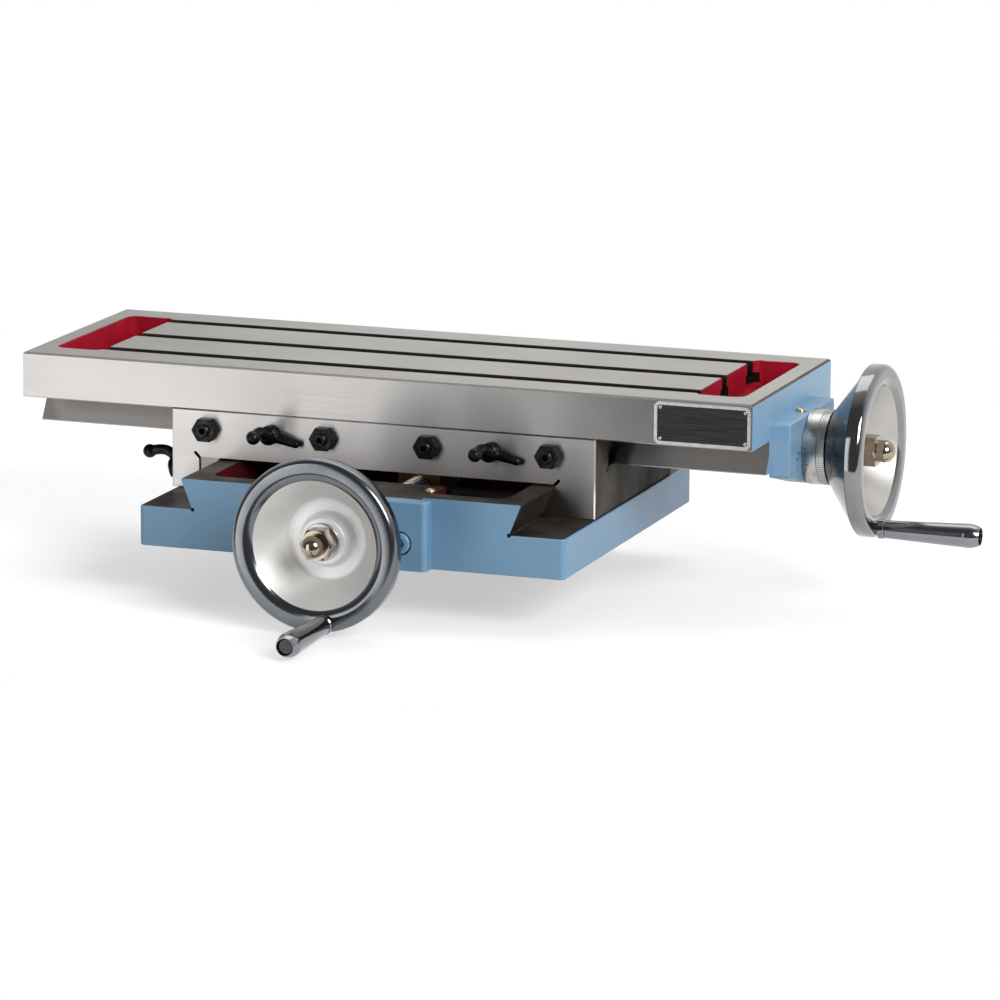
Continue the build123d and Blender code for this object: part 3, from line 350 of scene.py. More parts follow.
def small_metal(name, colour, dark, rough, scale=90.0, bump=0.08, edge=0.35):
    """A small metal piece: cloudy tone, fine marks, uneven polish and brighter rubbed edges."""
    material, tree, shader = new_material(name)
    marks = noise(tree, scale, 4.0)
    tone = blended(tree, remap(tree, marks, 0.35, 0.65), dark, colour)
    bright = tuple(min(channel * 1.4, 0.8) for channel in colour)
    tree.links.new(edge_worn(tree, tone, 0.0004, edge, bright), shader.inputs["Base Color"])
    shader.inputs["Metallic"].default_value = 1.0
    tree.links.new(remap(tree, marks, 0.3, 0.7, rough * 1.2, rough * 0.85), shader.inputs["Roughness"])
    relief(tree, shader, marks, bump, 0.00004)
    return material


def turned_satin(name, axis, colour, dark, metallic):
    """Satin-turned face of a handwheel: faint clouds, gloss drawn out across the turning marks."""
    material, tree, shader = new_material(name)
    squash = {"X": (1, 6, 6), "Y": (6, 1, 6)}[axis]
    mix = mixed(tree, noise(tree, 9.0, 3.0, squash), noise(tree, 900.0, 2.0), 0.3)
    tree.links.new(blended(tree, remap(tree, mix, 0.35, 0.65), dark, colour), shader.inputs["Base Color"])
    shader.inputs["Metallic"].default_value = metallic
    shader.inputs["Anisotropic"].default_value = 0.3
    shader.inputs["Anisotropic Rotation"].default_value = 0.25
    tree.links.new(remap(tree, mix, 0.3, 0.7, 0.53, 0.47), shader.inputs["Roughness"])
    tangent_round(tree, shader, axis)
    return material


def black_oxide_steel():
    """Black oxide on steel, rubbed a little lighter on its edges."""
    material, tree, shader = new_material("black_oxide")
    wear = noise(tree, 160.0, 4.0)
    tone = blended(tree, remap(tree, wear, 0.45, 0.75), (0.012, 0.012, 0.013), (0.035, 0.033, 0.032))
    tree.links.new(edge_worn(tree, tone, 0.0005, 0.7, (0.14, 0.135, 0.13)), shader.inputs["Base Color"])
    shader.inputs["Metallic"].default_value = 0.85
    tree.links.new(remap(tree, wear, 0.3, 0.7, 0.40, 0.28), shader.inputs["Roughness"])
    relief(tree, shader, wear, 0.1, 0.00005)
    return material


def name_plate_metal():
    """Bright rim round a bare dark field with a fine brushed grain."""
    material, tree, shader = new_material("name_plate_metal")
    split = tree.nodes.new("ShaderNodeSeparateXYZ")
    tree.links.new(stretched_place(tree), split.inputs["Vector"])
    inside = calculated(tree, "GREATER_THAN", split.outputs["Y"], PLATE_FIELD_FACE * MM)
    for axis, centre, half in zip("XZ", (PLATE_CENTRE[0], PLATE_CENTRE[2]), PLATE_FIELD_HALVES):
        away = calculated(tree, "ABSOLUTE", calculated(tree, "SUBTRACT", split.outputs[axis], centre * MM))
        inside = calculated(tree, "MULTIPLY", inside, calculated(tree, "LESS_THAN", away, half * MM))
    grain = noise(tree, 1.0, 3.0, (40, 1500, 2500))
    field = blended(tree, remap(tree, grain, 0.35, 0.65), (0.028, 0.027, 0.026), (0.060, 0.058, 0.055))
    cloud = remap(tree, noise(tree, 260.0, 3.0), 0.35, 0.65)
    rim = blended(tree, cloud, (0.60, 0.60, 0.60), (0.74, 0.74, 0.74))
    tree.links.new(blended(tree, inside, rim, field), shader.inputs["Base Color"])
    shader.inputs["Metallic"].default_value = 0.9
    tree.links.new(remap(tree, inside, 0.0, 1.0, 0.30, 0.42), shader.inputs["Roughness"])
    relief(tree, shader, grain, 0.1, 0.00003)
    return material


blue_enamel = enamel("blue_enamel", (0.155, 0.298, 0.440), (0.136, 0.265, 0.400), (0.26, 0.42, 0.57))
pale_enamel = enamel("pale_blue_enamel", (0.200, 0.350, 0.500), (0.180, 0.320, 0.465), (0.34, 0.50, 0.66))
trough_red = enamel(
    "trough_red_enamel", (0.37, 0.006, 0.022), (0.25, 0.004, 0.015), (0.55, 0.02, 0.04), 0.5, 0.15)
# The troughs' red enamel, much darker, as painted shade inside the base's well
well_red_painted_shade = enamel(
    "well_trough_red_painted_shade", (0.10, 0.007, 0.008), (0.05, 0.005, 0.005), (0.13, 0.02, 0.02), 0.5, 0.15)
# Painted light: the table's top is lighter in colour than its front, which is the same ground iron
top_iron_painted_light = ground_iron("table_top_iron_painted_light", (0.44, 0.427, 0.405), (0.39, 0.377, 0.356), 0.40)
front_iron = ground_iron("front_face_iron", (0.40, 0.387, 0.375), (0.368, 0.356, 0.345), 0.25, 0.97)
# Painted light: the saddle's ground iron is lighter than the table's front, standing in for the reflections
# that the front handwheel blocks
saddle_iron_painted_light = ground_iron("saddle_front_iron_painted_light", (0.50, 0.484, 0.469), (0.455, 0.440, 0.427), 0.33, 0.93)
# Old oil and painted shade: the saddle's sides, the table's underside and the ways are darkened in colour
# for the shade under the table and saddle
side_iron_painted_shade = oiled_iron_painted_shade("side_face_iron_painted_shade", (0.070, 0.062, 0.054), (0.046, 0.040, 0.035), 0.05, 0.6)
way_iron_oil_and_painted_shade = oiled_iron_painted_shade("way_iron_oil_and_painted_shade", (0.042, 0.034, 0.028), (0.018, 0.014, 0.011), 0.1, 0.40)
# The T-slots' faces, far darker than the table's ground top
dark_iron = milled_iron("slot_iron", (0.10, 0.092, 0.083), (0.055, 0.050, 0.045), 0.42)
gib_iron = milled_iron("gib_iron", (0.30, 0.285, 0.265), (0.24, 0.225, 0.205), 0.34)
bright_steel = small_metal("bright_steel", (0.54, 0.53, 0.52), (0.46, 0.45, 0.44), 0.24)
dial_steel = small_metal("satin_dial_steel", (0.50, 0.495, 0.48), (0.44, 0.435, 0.42), 0.27, 50.0, 0.05)
brass = small_metal("brass", (0.62, 0.47, 0.24), (0.50, 0.37, 0.19), 0.26)
bronze = small_metal("bronze", (0.46, 0.29, 0.14), (0.36, 0.22, 0.11), 0.34)
nickel = small_metal("warm_nickel_nut", (0.44, 0.37, 0.29), (0.30, 0.245, 0.185), 0.13, 70.0, 0.03)
chrome = small_metal("chrome_plate", (0.26, 0.27, 0.285), (0.225, 0.235, 0.25), 0.13, 30.0, 0.015, 0.2)
black_oxide = black_oxide_steel()
# Painted dark reflection on the crank pins' heads
pin_head_painted_reflection = small_metal("crank_pin_head_painted_reflection", (0.075, 0.075, 0.08), (0.055, 0.055, 0.06), 0.2, 70.0, 0.03)
plate_metal = name_plate_metal()
mark_fill = milled_iron("dial_mark_fill", (0.020, 0.020, 0.022), (0.012, 0.012, 0.013), 0.5)

# Each handwheel's back, rim, bowl, and the bowl's floor with the nut's seat, in tones set apart as painted
# light and shade: both wheels are the same chrome and satin, but the long wheel's back and bowl are darker
# as painted shade, the cross wheel's rim is darker as painted dark reflection, and the cross wheel's bowl
# is lighter as painted light. Each bowl's floor is lighter than its bowl, partly its finish and partly
# painted highlight.
BACKS = {
    "cross": small_metal(
        "cross_back_chrome", (0.32, 0.325, 0.335), (0.27, 0.275, 0.285), 0.13, 40.0, 0.02, 0.2),
    "long": small_metal(
        "long_back_chrome_painted_shade", (0.12, 0.123, 0.128), (0.10, 0.103, 0.108), 0.13, 40.0, 0.02, 0.2),
}
RIMS = {
    "cross": small_metal(
        "cross_rim_chrome_painted_reflection", (0.185, 0.195, 0.207), (0.155, 0.163, 0.175), 0.18, 30.0, 0.015, 0.2),
    "long": small_metal(
        "long_rim_chrome", (0.26, 0.263, 0.27), (0.225, 0.228, 0.235), 0.08, 30.0, 0.015, 0.2),
}
BOWLS = {
    "cross": turned_satin("cross_bowl", "Y", (0.78, 0.77, 0.755), (0.70, 0.69, 0.675), 0.72),
    "long": turned_satin("long_bowl", "X", (0.56, 0.542, 0.52), (0.49, 0.472, 0.45), 0.88),
}
SEATS = {
    "cross": turned_satin("cross_bowl_floor", "Y", (0.90, 0.895, 0.885), (0.84, 0.835, 0.825), 0.6),
    "long": turned_satin("long_bowl_floor", "X", (0.60, 0.585, 0.565), (0.54, 0.525, 0.505), 0.85),
}

# Finishes of the pieces that keep their CAD shape; the rest are bright steel
FINISHES = {
    "cross_bearing_plate": blue_enamel, "cross_plate_screws": blue_enamel,
    "table_end_bracket": pale_enamel, "bracket_screws": pale_enamel,
    "cross_gib": gib_iron, "table_gib": gib_iron,
    "name_plate": plate_metal,
    "table_lock_plugs": brass, "cross_lock_plug": brass,
    "cross_nut": bronze, "long_nut": bronze, "cross_screw_bush": bronze, "long_screw_bush": bronze,
    "table_gib_screws": black_oxide, "table_gib_locknuts": black_oxide, "cross_gib_screws": black_oxide,
    "cross_gib_locknuts": black_oxide, "cross_nut_screws": black_oxide, "long_nut_screws": black_oxide,
    "cross_wheel_nut": nickel, "long_wheel_nut": nickel,
    "cross_handle_grip": chrome, "long_handle_grip": chrome,
}
for name, node in nodes.items():
    for slot in node.material_slots:
        slot.material = FINISHES.get(name, bright_steel)


# Making pieces

def spun_line(outline, closed=False):
    """A shape with one line of (radius, height) points in the plane of X and Z."""
    shape = bmesh.new()
    points = [shape.verts.new((radius * MM, 0, height * MM)) for radius, height in outline]
    for pair in zip(points, points[1:] + points[:1] if closed else points[1:]):
        shape.edges.new(pair)
    return shape


def lathe(outline, steps=96, closed=True):
    """Spins a (radius, height) outline about Z; an open one ends on the axis."""
    shape = spun_line(outline, closed)
    bmesh.ops.spin(
        shape, geom=shape.verts[:] + shape.edges[:], cent=(0, 0, 0), axis=(0, 0, 1), angle=2 * pi,
        steps=steps, use_merge=True)
    bmesh.ops.remove_doubles(shape, verts=shape.verts, dist=1e-7)
    bmesh.ops.recalc_face_normals(shape, faces=shape.faces)
    return shape


def round_rings(shape, *rings):
    """Rounds the circular edge at each radius and height by a size."""
    for radius, height, size in rings:
        ring = [edge for edge in shape.edges if all(
            abs(vert.co.xy.length - radius * MM) < 1e-6 and abs(vert.co.z - height * MM) < 1e-6
            for vert in edge.verts)]
        bmesh.ops.bevel(
            shape, geom=ring, offset=size * MM, offset_type="OFFSET", segments=3 if size < 2 else 8,
            profile=0.5, affect="EDGES", material=-1)


def joined(*shapes):
    """Several shapes in one mesh."""
    whole = bmesh.new()
    for shape in shapes:
        mesh = bpy.data.meshes.new("part")
        shape.to_mesh(mesh)
        shape.free()
        whole.from_mesh(mesh)
        bpy.data.meshes.remove(mesh)
    return whole


def shade(shape, angle, flats):
    """Smooth faces with sharp edges where they bend; with flats, broad flat faces keep all their edges."""
    for face in shape.faces:
        face.smooth = True
    for edge in shape.edges:
        broad = flats and any(face.calc_area() > 3 * MM * face.calc_perimeter() for face in edge.link_faces)
        edge.smooth = edge.calc_face_angle(0.0) < (0.01 if broad else radians(angle))


def placed(name, shape, materials):
    """An object at the origin with the shape as its mesh."""
    mesh = bpy.data.meshes.new(name)
    shape.to_mesh(mesh)
    shape.free()
    for material in materials:
        mesh.materials.append(material)
    piece = bpy.data.objects.new(name, mesh)
    bpy.context.scene.collection.objects.link(piece)
    return piece


def finished(name, shape, place, body, materials, replaces=None, angle=32.0, flats=False):
    """Makes a piece at the origin, with its place in its mesh, that rides on a body."""
    bmesh.ops.transform(shape, matrix=place, verts=shape.verts)
    shade(shape, angle, flats)
    piece = placed(name, shape, materials)
    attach(piece, body)
    if replaces:
        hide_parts(replaces)


# Castings, each face with the finish of its place

def casting(name, body, materials, zone):
    """A copy of a CAD piece whose faces take their finishes from their places."""
    shape = bmesh.new()
    shape.from_mesh(nodes[name].data)
    bmesh.ops.remove_doubles(shape, verts=shape.verts, dist=1e-6)
    for face in shape.faces:
        face.material_index = zone(face.calc_center_median() / MM, face.normal)
    bmesh.ops.dissolve_limit(
        shape, angle_limit=0.004, use_dissolve_boundaries=False, verts=shape.verts, edges=shape.edges,
        delimit={"MATERIAL"})
    finished(f"{name}_casting", shape, Matrix.Identity(4), body, materials, name, flats=True)


def base_zone(centre, normal):
    """Blue outside; oiled machined faces, darkened as painted shade; the troughs' red darkened as painted
    shade in the well.
    """
    x, y, z = abs(centre.x), centre.y, centre.z
    level = abs(normal.z) > 0.9
    on_flange = z > FLANGE_TOP - MARGIN / 2 and x < BASE_HALF - PAINTED_RIM
    machined = level and (z < MARGIN or z > BOSS_TOP - MARGIN or on_flange)
    on_way = WELL_HALF + 0.5 < x < CROSS_WAY_HALF + 1 and BELOW_ROOT_SLOT < z < CROSS_WAY_TOP + MARGIN
    flank = on_way and abs(normal.y) < 0.7
    from_hole = max(abs(x - BENCH_HOLE_X), abs(abs(y) - BENCH_HOLE_Y))
    bench_hole = from_hole < BENCH_BORE_RADIUS + 2 * MARGIN and z < FLANGE_TOP - MARGIN / 10
    if machined or flank or bench_hole:
        return 1
    in_well = x < WELL_HALF + 0.5 and WELL_FRONT - 2 * MARGIN < y < WELL_REAR + 2 * MARGIN
    return 2 if in_well and z < CROSS_WAY_TOP - 0.5 and not level else 0


def saddle_zone(centre, normal):
    """Ground outer faces, made lighter as painted light; duller sides, darkened as painted shade; oiled
    faces where it slides, darkened as painted shade.
    """
    x, y, _ = centre
    if (normal.y < -0.5 and y < SADDLE_FRONT + 1) or (normal.y > 0.5 and y > SADDLE_REAR - 1):
        return 0
    side = x > SADDLE_RIGHT - 1 or x < SADDLE_LEFT + 1
    return 1 if side and abs(normal.x) > 0.5 else 2


def table_zone(centre, normal):
    """Ground top, lighter as painted light, and long sides; painted ends, red troughs, dark slots, and
    oiled ways and underside darkened as painted shade.
    """
    x, y, z = centre
    if (x > TABLE_RIGHT - MARGIN or x < TABLE_LEFT + MARGIN) and abs(normal.x) > 0.9:
        return 2
    across = abs(y - TABLE_CENTRE)
    trough_centre = TROUGH_END_WALL + TROUGH_HALF
    from_trough = min(abs(x - TABLE_RIGHT + trough_centre), abs(x - TABLE_LEFT - trough_centre))
    in_trough = from_trough < TROUGH_HALF + 3 * MARGIN and across < TROUGH_REACH + 2 * MARGIN
    slot_wall = abs(normal.y) > 0.9 and across < TROUGH_REACH - 1.5
    if in_trough and TROUGH_FLOOR - MARGIN < z < TABLE_TOP - MARGIN and not slot_wall:
        return 3
    if SLOT_FLOOR - MARGIN < z < TABLE_TOP - MARGIN and across < TROUGH_REACH - MARGIN:
        return 4
    if z > TABLE_TOP - TOP_CHAMFER - MARGIN and (normal.z > 0.5 or across < TROUGH_REACH + MARGIN):
        return 0
    return 1 if z > SLAB_BOTTOM or normal.y < -0.3 else 5


casting("base", "base", (blue_enamel, way_iron_oil_and_painted_shade, well_red_painted_shade), base_zone)
casting("saddle", "saddle", (saddle_iron_painted_light, side_iron_painted_shade, way_iron_oil_and_painted_shade), saddle_zone)
casting("table", "table", (top_iron_painted_light, front_iron, pale_enamel, trough_red, dark_iron, side_iron_painted_shade), table_zone)


# Handwheels with their washers, feed screws and dials

def handwheel(drive):
    """A dished wheel: polished rim and back, satin-turned bowl with a raised seat for its nut."""
    wheel = lathe([
        (WHEEL_BORE, 0), (NOSE_RADIUS, 0), (NOSE_RADIUS, NOSE_LENGTH), (HUB_BACK_RADIUS, NOSE_LENGTH),
        (RIM_SHOULDER, RIM_BACK), (WHEEL_RADIUS, RIM_BACK), (WHEEL_RADIUS, WHEEL_FACE),
        (RIM_INNER, WHEEL_FACE), (BOWL_FLOOR_RADIUS, BOWL_FLOOR), (SEAT_ROOT, BOWL_FLOOR),
        (SEAT_RADIUS, SEAT_FACE), (WHEEL_BORE, SEAT_FACE)], 144)
    round_rings(
        wheel, (WHEEL_RADIUS, WHEEL_FACE, RIM_ROUND), (RIM_INNER, WHEEL_FACE, RIM_ROUND),
        (BOWL_FLOOR_RADIUS, BOWL_FLOOR, 4.0), (SEAT_ROOT, BOWL_FLOOR, 2.2), (SEAT_RADIUS, SEAT_FACE, 0.8),
        (WHEEL_RADIUS, RIM_BACK, 0.9), (RIM_SHOULDER, RIM_BACK, 0.7),
        (HUB_BACK_RADIUS, NOSE_LENGTH, 0.9), (NOSE_RADIUS, 0, 0.5))
    for face in wheel.faces:
        centre = face.calc_center_median() / MM
        radius = centre.xy.length
        if radius < BOWL_EDGE and centre.z > BOWL_FLOOR - 1 and face.normal.z > 0.05:
            face.material_index = 2 if radius < BOWL_FLOOR_RADIUS - 0.5 else 1
        elif face.normal.z < -0.2 and centre.z > NOSE_LENGTH - 0.5:
            face.material_index = 3
    finished(f"{drive}_wheel", wheel, DRIVES[drive], f"{drive}_drive",
             (RIMS[drive], BOWLS[drive], SEATS[drive], BACKS[drive]), f"{drive}_handwheel", 40.0)


def wheel_washer(drive):
    outer = SEAT_FACE + WASHER_THICK
    washer = lathe([
        (WASHER_BORE, SEAT_FACE), (WASHER_RADIUS, SEAT_FACE), (WASHER_RADIUS, outer),
        (WASHER_BORE, outer)], 72)
    round_rings(
        washer, (WASHER_RADIUS, SEAT_FACE, 0.3), (WASHER_RADIUS, outer, 0.6), (WASHER_BORE, outer, 0.3))
    finished(f"{drive}_nut_washer", washer, DRIVES[drive], f"{drive}_drive", (bright_steel,),
             f"{drive}_wheel_washer")


def thread(start, end, root, crest, hand, steps=28):
    """A trapezoidal screw thread between two heights: the line of one pitch, wound up the axis."""
    turns = int((end - start) / LEAD) + 3
    pitch_line = ((root, 0), (root, 0.37), (crest, 0.5), (crest, 0.87), (root, 1))
    shape = spun_line([(radius, start + (share - 2) * LEAD) for radius, share in pitch_line])
    bmesh.ops.spin(
        shape, geom=shape.verts[:] + shape.edges[:], cent=(0, 0, 0), axis=(0, 0, 1),
        dvec=(0, 0, LEAD / steps * MM), angle=hand * 2 * pi * turns, steps=steps * turns)
    bmesh.ops.remove_doubles(shape, verts=shape.verts, dist=1e-6)
    for height, side in ((start, -1), (end, 1)):
        bmesh.ops.bisect_plane(
            shape, geom=shape.verts[:] + shape.edges[:] + shape.faces[:], dist=1e-7,
            plane_co=(0, 0, height * MM), plane_no=(0, 0, side), clear_outer=True)
    bmesh.ops.holes_fill(shape, edges=[edge for edge in shape.edges if edge.is_boundary], sides=0)
    bmesh.ops.recalc_face_normals(shape, faces=shape.faces)
    return shape


def feed_screw(drive):
    """A feed screw with its thread, collar, journal and stepped nose."""
    free_end, collar_face, hand = FEED_SCREWS[drive]
    collar = collar_face - COLLAR_LENGTH
    core = lathe([
        (0, free_end), (THREAD_ROOT - 0.9, free_end), (THREAD_ROOT, free_end + 0.9),
        (THREAD_ROOT, collar - 2), (9, collar), (COLLAR_RADIUS, collar), (COLLAR_RADIUS, collar_face),
        (JOURNAL_RADIUS, collar_face), (JOURNAL_RADIUS, JOURNAL_END), (WHEEL_SEAT_RADIUS, JOURNAL_END),
        (WHEEL_SEAT_RADIUS, WHEEL_SEAT_END), (END_RADIUS, WHEEL_SEAT_END), (END_RADIUS, SCREW_TIP - 1),
        (END_RADIUS - 1, SCREW_TIP), (0, SCREW_TIP)], 48, False)
    round_rings(core, (COLLAR_RADIUS, collar, 0.5), (COLLAR_RADIUS, collar_face, 0.5))
    winding = thread(free_end + 4, collar - 3, THREAD_ROOT + 0.1, THREAD_CREST, hand)
    finished(f"{drive}_feed_screw", joined(core, winding), DRIVES[drive], f"{drive}_drive", (bright_steel,),
             f"{drive}_screw")


def dial(drive):
    """A dial with a graduated band, a groove and a ribbed band for setting it to zero."""
    ring = lathe([
        (DIAL_BORE, DIAL_START), (DIAL_RADIUS, DIAL_START), (DIAL_RADIUS, GROOVE_START),
        (GROOVE_RADIUS, GROOVE_START + GROOVE_SLOPE), (GROOVE_RADIUS, GROOVE_END - GROOVE_SLOPE),
        (DIAL_RADIUS, GROOVE_END), (DIAL_RADIUS, DIAL_END), (DIAL_BORE, DIAL_END)], DIAL_STEPS)
    ribs = []
    for face in ring.faces:
        centre = face.calc_center_median() / MM
        in_band = GROOVE_END + MARGIN < centre.z < DIAL_END - MARGIN and abs(face.normal.z) < 0.1
        if in_band and centre.xy.length > DIAL_RADIUS - 0.5:
            ribs.append(face)
    ribs.sort(key=lambda face: Vector((1, 0)).angle_signed(face.calc_center_median().xy))
    bmesh.ops.inset_individual(ring, faces=ribs[::2], thickness=0.12 * MM, depth=-0.28 * MM)
    round_rings(ring, (DIAL_RADIUS, DIAL_START, 0.4))
    finished(f"{drive}_dial_ring", ring, DRIVES[drive], f"{drive}_dial", (dial_steel,),
             f"{drive}_dial", 25.0)
    dial_marks(drive)
    dial_figures(drive)


def dial_marks(drive):
    """A hundred graduations, longer at every fifth and tenth."""
    marks = bmesh.new()
    for step in range(GRADUATIONS):
        length = 5.4 if step % 10 == 0 else 4.2 if step % 5 == 0 else 2.8
        turn = Matrix.Rotation(2 * pi * step / GRADUATIONS, 4, "Z")
        out = Matrix.Translation((DIAL_RADIUS * MM, 0, (1.1 + length / 2) * MM))
        size = Matrix.Diagonal((0.06 * MM, 0.26 * MM, length * MM, 1))
        bmesh.ops.create_cube(marks, size=1.0, matrix=turn @ out @ size)
    finished(f"{drive}_dial_marks", marks, DRIVES[drive], f"{drive}_dial", (mark_fill,))


def dial_figures(drive):
    """Plain numbers at the long graduations."""
    figures = bmesh.new()
    for step in range(FIGURES):
        text = bpy.data.curves.new("figure", "FONT")
        text.body = str(step * 10)
        text.size = FIGURE_HEIGHT * MM
        text.extrude = 0.03 * MM
        text.align_x = "CENTER"
        text.resolution_u = 3
        flat = bpy.data.objects.new("figure", text)
        mesh = bpy.data.meshes.new_from_object(flat)
        angle = 2 * pi * step / FIGURES
        across = Vector((sin(angle), -cos(angle), 0))
        outward = Vector((cos(angle), sin(angle), 0))
        spot = Matrix((across, Vector((0, 0, -1)), outward)).transposed().to_4x4()
        spot.translation = outward * (DIAL_RADIUS - 0.04) * MM + Vector((0, 0, FIGURE_PLACE * MM))
        mesh.transform(spot)
        figures.from_mesh(mesh)
        bpy.data.objects.remove(flat)
    finished(f"{drive}_dial_figures", figures, DRIVES[drive], f"{drive}_dial", (mark_fill,))


def crank_pin(drive):
    """The pin of a crank handle: polished collar, and a darker head at the grip's end, darkened as painted
    dark reflection.
    """
    inward = DRIVES[drive].inverted()
    casting(f"{drive}_handle_spindle", f"{drive}_drive", (chrome, pin_head_painted_reflection),
            lambda centre, normal: int((inward @ (centre * MM)).z > PIN_HEAD_START * MM))


for drive in DRIVES:
    handwheel(drive)
    wheel_washer(drive)
    feed_screw(drive)
    dial(drive)
    crank_pin(drive)


# Lock levers, as smooth castings

def lock_lever(node_name, body):
    """The lever's shape with the soft joins of a casting between its hub, grip and arm."""
    rough = bpy.data.objects.new("rough_lever", nodes[node_name].data.copy())
    bpy.context.scene.collection.objects.link(rough)
    remesh = rough.modifiers.new("even", "REMESH")
    remesh.mode = "VOXEL"
    remesh.voxel_size = LEVER_GRAIN * MM
    soften = rough.modifiers.new("soften", "SMOOTH")
    soften.factor = 0.5
    soften.iterations = 10
    mesh = bpy.data.meshes.new_from_object(rough.evaluated_get(bpy.context.evaluated_depsgraph_get()))
    bpy.data.objects.remove(rough)
    shape = bmesh.new()
    shape.from_mesh(mesh)
    finished(f"{node_name}_cast", shape, Matrix.Identity(4), body, (black_oxide,), node_name,
             60.0)


lock_lever("table_lock_lever_left", "table_lock_left")
lock_lever("table_lock_lever_right", "table_lock_right")
lock_lever("cross_lock_lever", "cross_lock")


# Oilers and the name plate's rivets

def oiler(name, spot, body, node_name):
    """A ball oiler: a rounded brass cap round a steel ball."""
    cap = lathe([
        (0, -6), (3, -6), (3, 0), (4, 0), (4, 1.2), (3.2, 1.9), (2.4, 2.0), (1.7, 1.3),
        (0, 1.0)], 40, False)
    finished(name, cap, Matrix.Translation(Vector(spot) * MM), body, (brass,), node_name, 50.0)
    ball = bmesh.new()
    bmesh.ops.create_uvsphere(ball, u_segments=24, v_segments=14, radius=BALL_RADIUS * MM)
    sunk = Matrix.Translation((Vector(spot) + Vector((0, 0, 0.55))) * MM) @ Matrix.Diagonal((1, 1, 0.85, 1))
    finished(f"{name}_ball", ball, sunk, body, (bright_steel,))


def plate_rivets():
    """A domed rivet in each corner of the name plate."""
    rivets = []
    for x in (-RIVET_FROM_CENTRE[0], RIVET_FROM_CENTRE[0]):
        for z in (-RIVET_FROM_CENTRE[1], RIVET_FROM_CENTRE[1]):
            head = lathe([(1.5, -0.2), (1.5, 0.1), (1.2, 0.42), (0.7, 0.58), (0, 0.62)], 24, False)
            spot = drive_place(Vector(PLATE_CENTRE) + Vector((x, 0, z)), (1, 0, 0), (0, -1, 0))
            bmesh.ops.transform(head, matrix=spot, verts=head.verts)
            rivets.append(head)
    finished("name_plate_rivets", joined(*rivets), Matrix.Identity(4), "table", (bright_steel,),
             angle=60.0)


oiler("base_oiler", BASE_OILER, "base", "base_oil_cup")
oiler("bracket_oiler", BRACKET_OILER, "table", "bracket_oil_cup")
plate_rivets()


# Camera, floor and lights

def pale_stage_material():
    """Pale matt floor that shows white to the camera and in reflections, and keeps its shadows."""
    material, tree, shader = new_material("pale_floor")
    shader.inputs["Roughness"].default_value = 0.8
    shader.inputs["Specular IOR Level"].default_value = 0.2
    tone = blended(tree, remap(tree, noise(tree, 3.0), 0.3, 0.7), (0.53, 0.53, 0.53), (0.55, 0.55, 0.55))
    tree.links.new(tone, shader.inputs["Base Color"])
    ray = tree.nodes.new("ShaderNodeLightPath")
    seen = calculated(tree, "MAXIMUM", ray.outputs["Is Camera Ray"], ray.outputs["Is Glossy Ray"])
    seen = calculated(tree, "MAXIMUM", seen, ray.outputs["Is Transmission Ray"])
    shader.inputs["Emission Color"].default_value = (1, 1, 1, 1)
    tree.links.new(calculated(tree, "MULTIPLY", seen, 0.52), shader.inputs["Emission Strength"])
    return material


def shade_sheet_material():
    """Near-black matt sheet without gloss: painted shade under the base."""
    material, tree, shader = new_material("stand_top_painted_shade")
    tone = blended(tree, noise(tree, 400.0), (0.02, 0.02, 0.02), (0.04, 0.04, 0.04))
    tree.links.new(tone, shader.inputs["Base Color"])
    shader.inputs["Roughness"].default_value = 0.95
    shader.inputs["Specular IOR Level"].default_value = 0.1
    return material


def staged(name, shape, *materials):
    placed(name, shape, materials)


def block(centre, size):
    shape = bmesh.new()
    bmesh.ops.create_cube(shape, size=1.0, matrix=Matrix.Translation(centre) @ Matrix.Diagonal((*size, 1)))
    return shape


def floor_and_stand():
    """The studio table, and a low stand under the base, because the front handwheel hangs; the stand's top
    and a sheet under the base are near-black, as painted shade seen through the base's open middle.
    """
    pale = pale_stage_material()
    shade_felt = shade_sheet_material()
    floor = bmesh.new()
    middle = Matrix.Translation((0, (FLOOR_FRONT + FLOOR_BACK) / 2, FLOOR_HEIGHT))
    reach = Matrix.Diagonal((FLOOR_HALF, (FLOOR_BACK - FLOOR_FRONT) / 2, 1.0, 1.0))
    bmesh.ops.create_grid(floor, x_segments=1, y_segments=1, size=1.0, matrix=middle @ reach)
    staged("floor", floor, pale)
    stand = block(STAND_CENTRE, STAND_SIZE)
    bmesh.ops.bevel(
        stand, geom=stand.edges[:], offset=STAND_EDGE, segments=3, profile=0.5, affect="EDGES", material=-1)
    for face in stand.faces:
        face.material_index = int(face.calc_center_median().z > -SHADE_TOP_THICK)
    staged("stand", stand, pale, shade_felt)
    staged("painted_shade_sheet", block(SHEET_CENTRE, SHEET_SIZE), shade_felt)


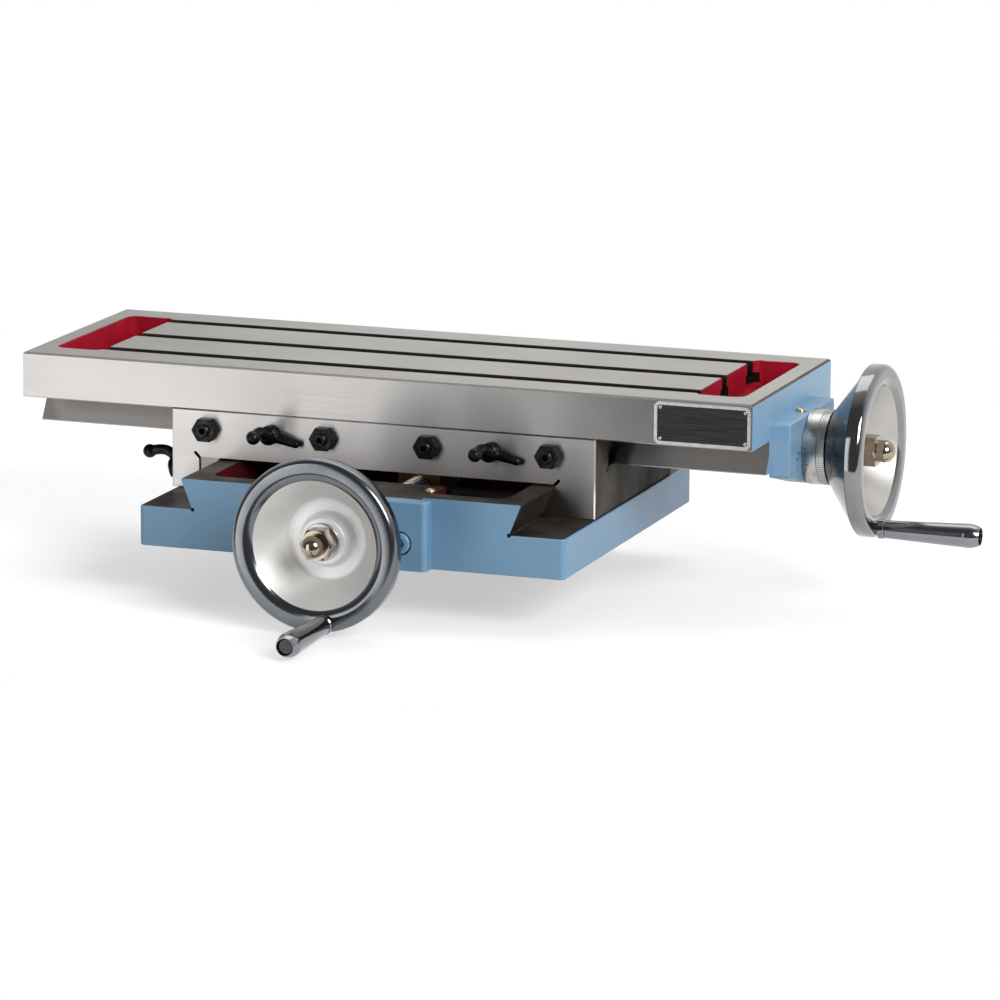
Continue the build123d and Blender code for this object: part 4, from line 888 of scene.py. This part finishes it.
def photo_camera():
    """The photograph's camera: a long lens from the operator's right, a little above the table."""
    azimuth, elevation, roll = radians(VIEW_AZIMUTH), radians(VIEW_ELEVATION), radians(VIEW_ROLL)
    back = Vector((sin(azimuth) * cos(elevation), -cos(azimuth) * cos(elevation), sin(elevation)))
    level = (-back).cross(Vector((0, 0, 1))).normalized()
    upright = level.cross(-back)
    right = cos(roll) * level + sin(roll) * upright
    up = cos(roll) * upright - sin(roll) * level
    data = bpy.data.cameras.new("photo_view")
    data.lens = VIEW_LENS
    data.sensor_width = VIEW_SENSOR
    data.clip_start = 0.1
    data.clip_end = 50.0
    camera = bpy.data.objects.new("photo_view", data)
    bpy.context.scene.collection.objects.link(camera)
    place = Matrix((right, up, back)).transposed().to_4x4()
    place.translation = Vector(VIEW_TARGET) + back * VIEW_DISTANCE
    camera.matrix_world = place
    bpy.context.scene.camera = camera


def softbox(name, place, aim, width, height, radiance):
    """A soft white lamp with an even face of the given brightness."""
    lamp = bpy.data.lights.new(name, "AREA")
    lamp.shape = "RECTANGLE"
    lamp.size = width
    lamp.size_y = height
    lamp.energy = radiance * pi * width * height
    box = bpy.data.objects.new(name, lamp)
    box.location = place
    box.rotation_mode = "QUATERNION"
    box.rotation_quaternion = (Vector(aim) - Vector(place)).to_track_quat("-Z", "Y")
    bpy.context.scene.collection.objects.link(box)


def studio_room():
    """A room that is pale behind the object and dim on the operator's side."""
    world = bpy.data.worlds.new("studio_room")
    world.use_nodes = True
    tree = world.node_tree
    direction = tree.nodes.new("ShaderNodeTexCoord").outputs["Generated"]
    split = tree.nodes.new("ShaderNodeSeparateXYZ")
    tree.links.new(direction, split.inputs["Vector"])
    behind = remap(tree, split.outputs["Y"], -0.35, 0.45)
    tone = blended(tree, behind, (0.13, 0.13, 0.14), (1.0, 1.0, 1.0))
    tree.links.new(tone, tree.nodes["Background"].inputs["Color"])
    tree.nodes["Background"].inputs["Strength"].default_value = 1.0
    bpy.context.scene.world = world


photo_camera()
floor_and_stand()
studio_room()
for name, setting in LAMPS.items():
    softbox(name, *setting)
bpy.context.scene.view_settings.view_transform = "Standard"
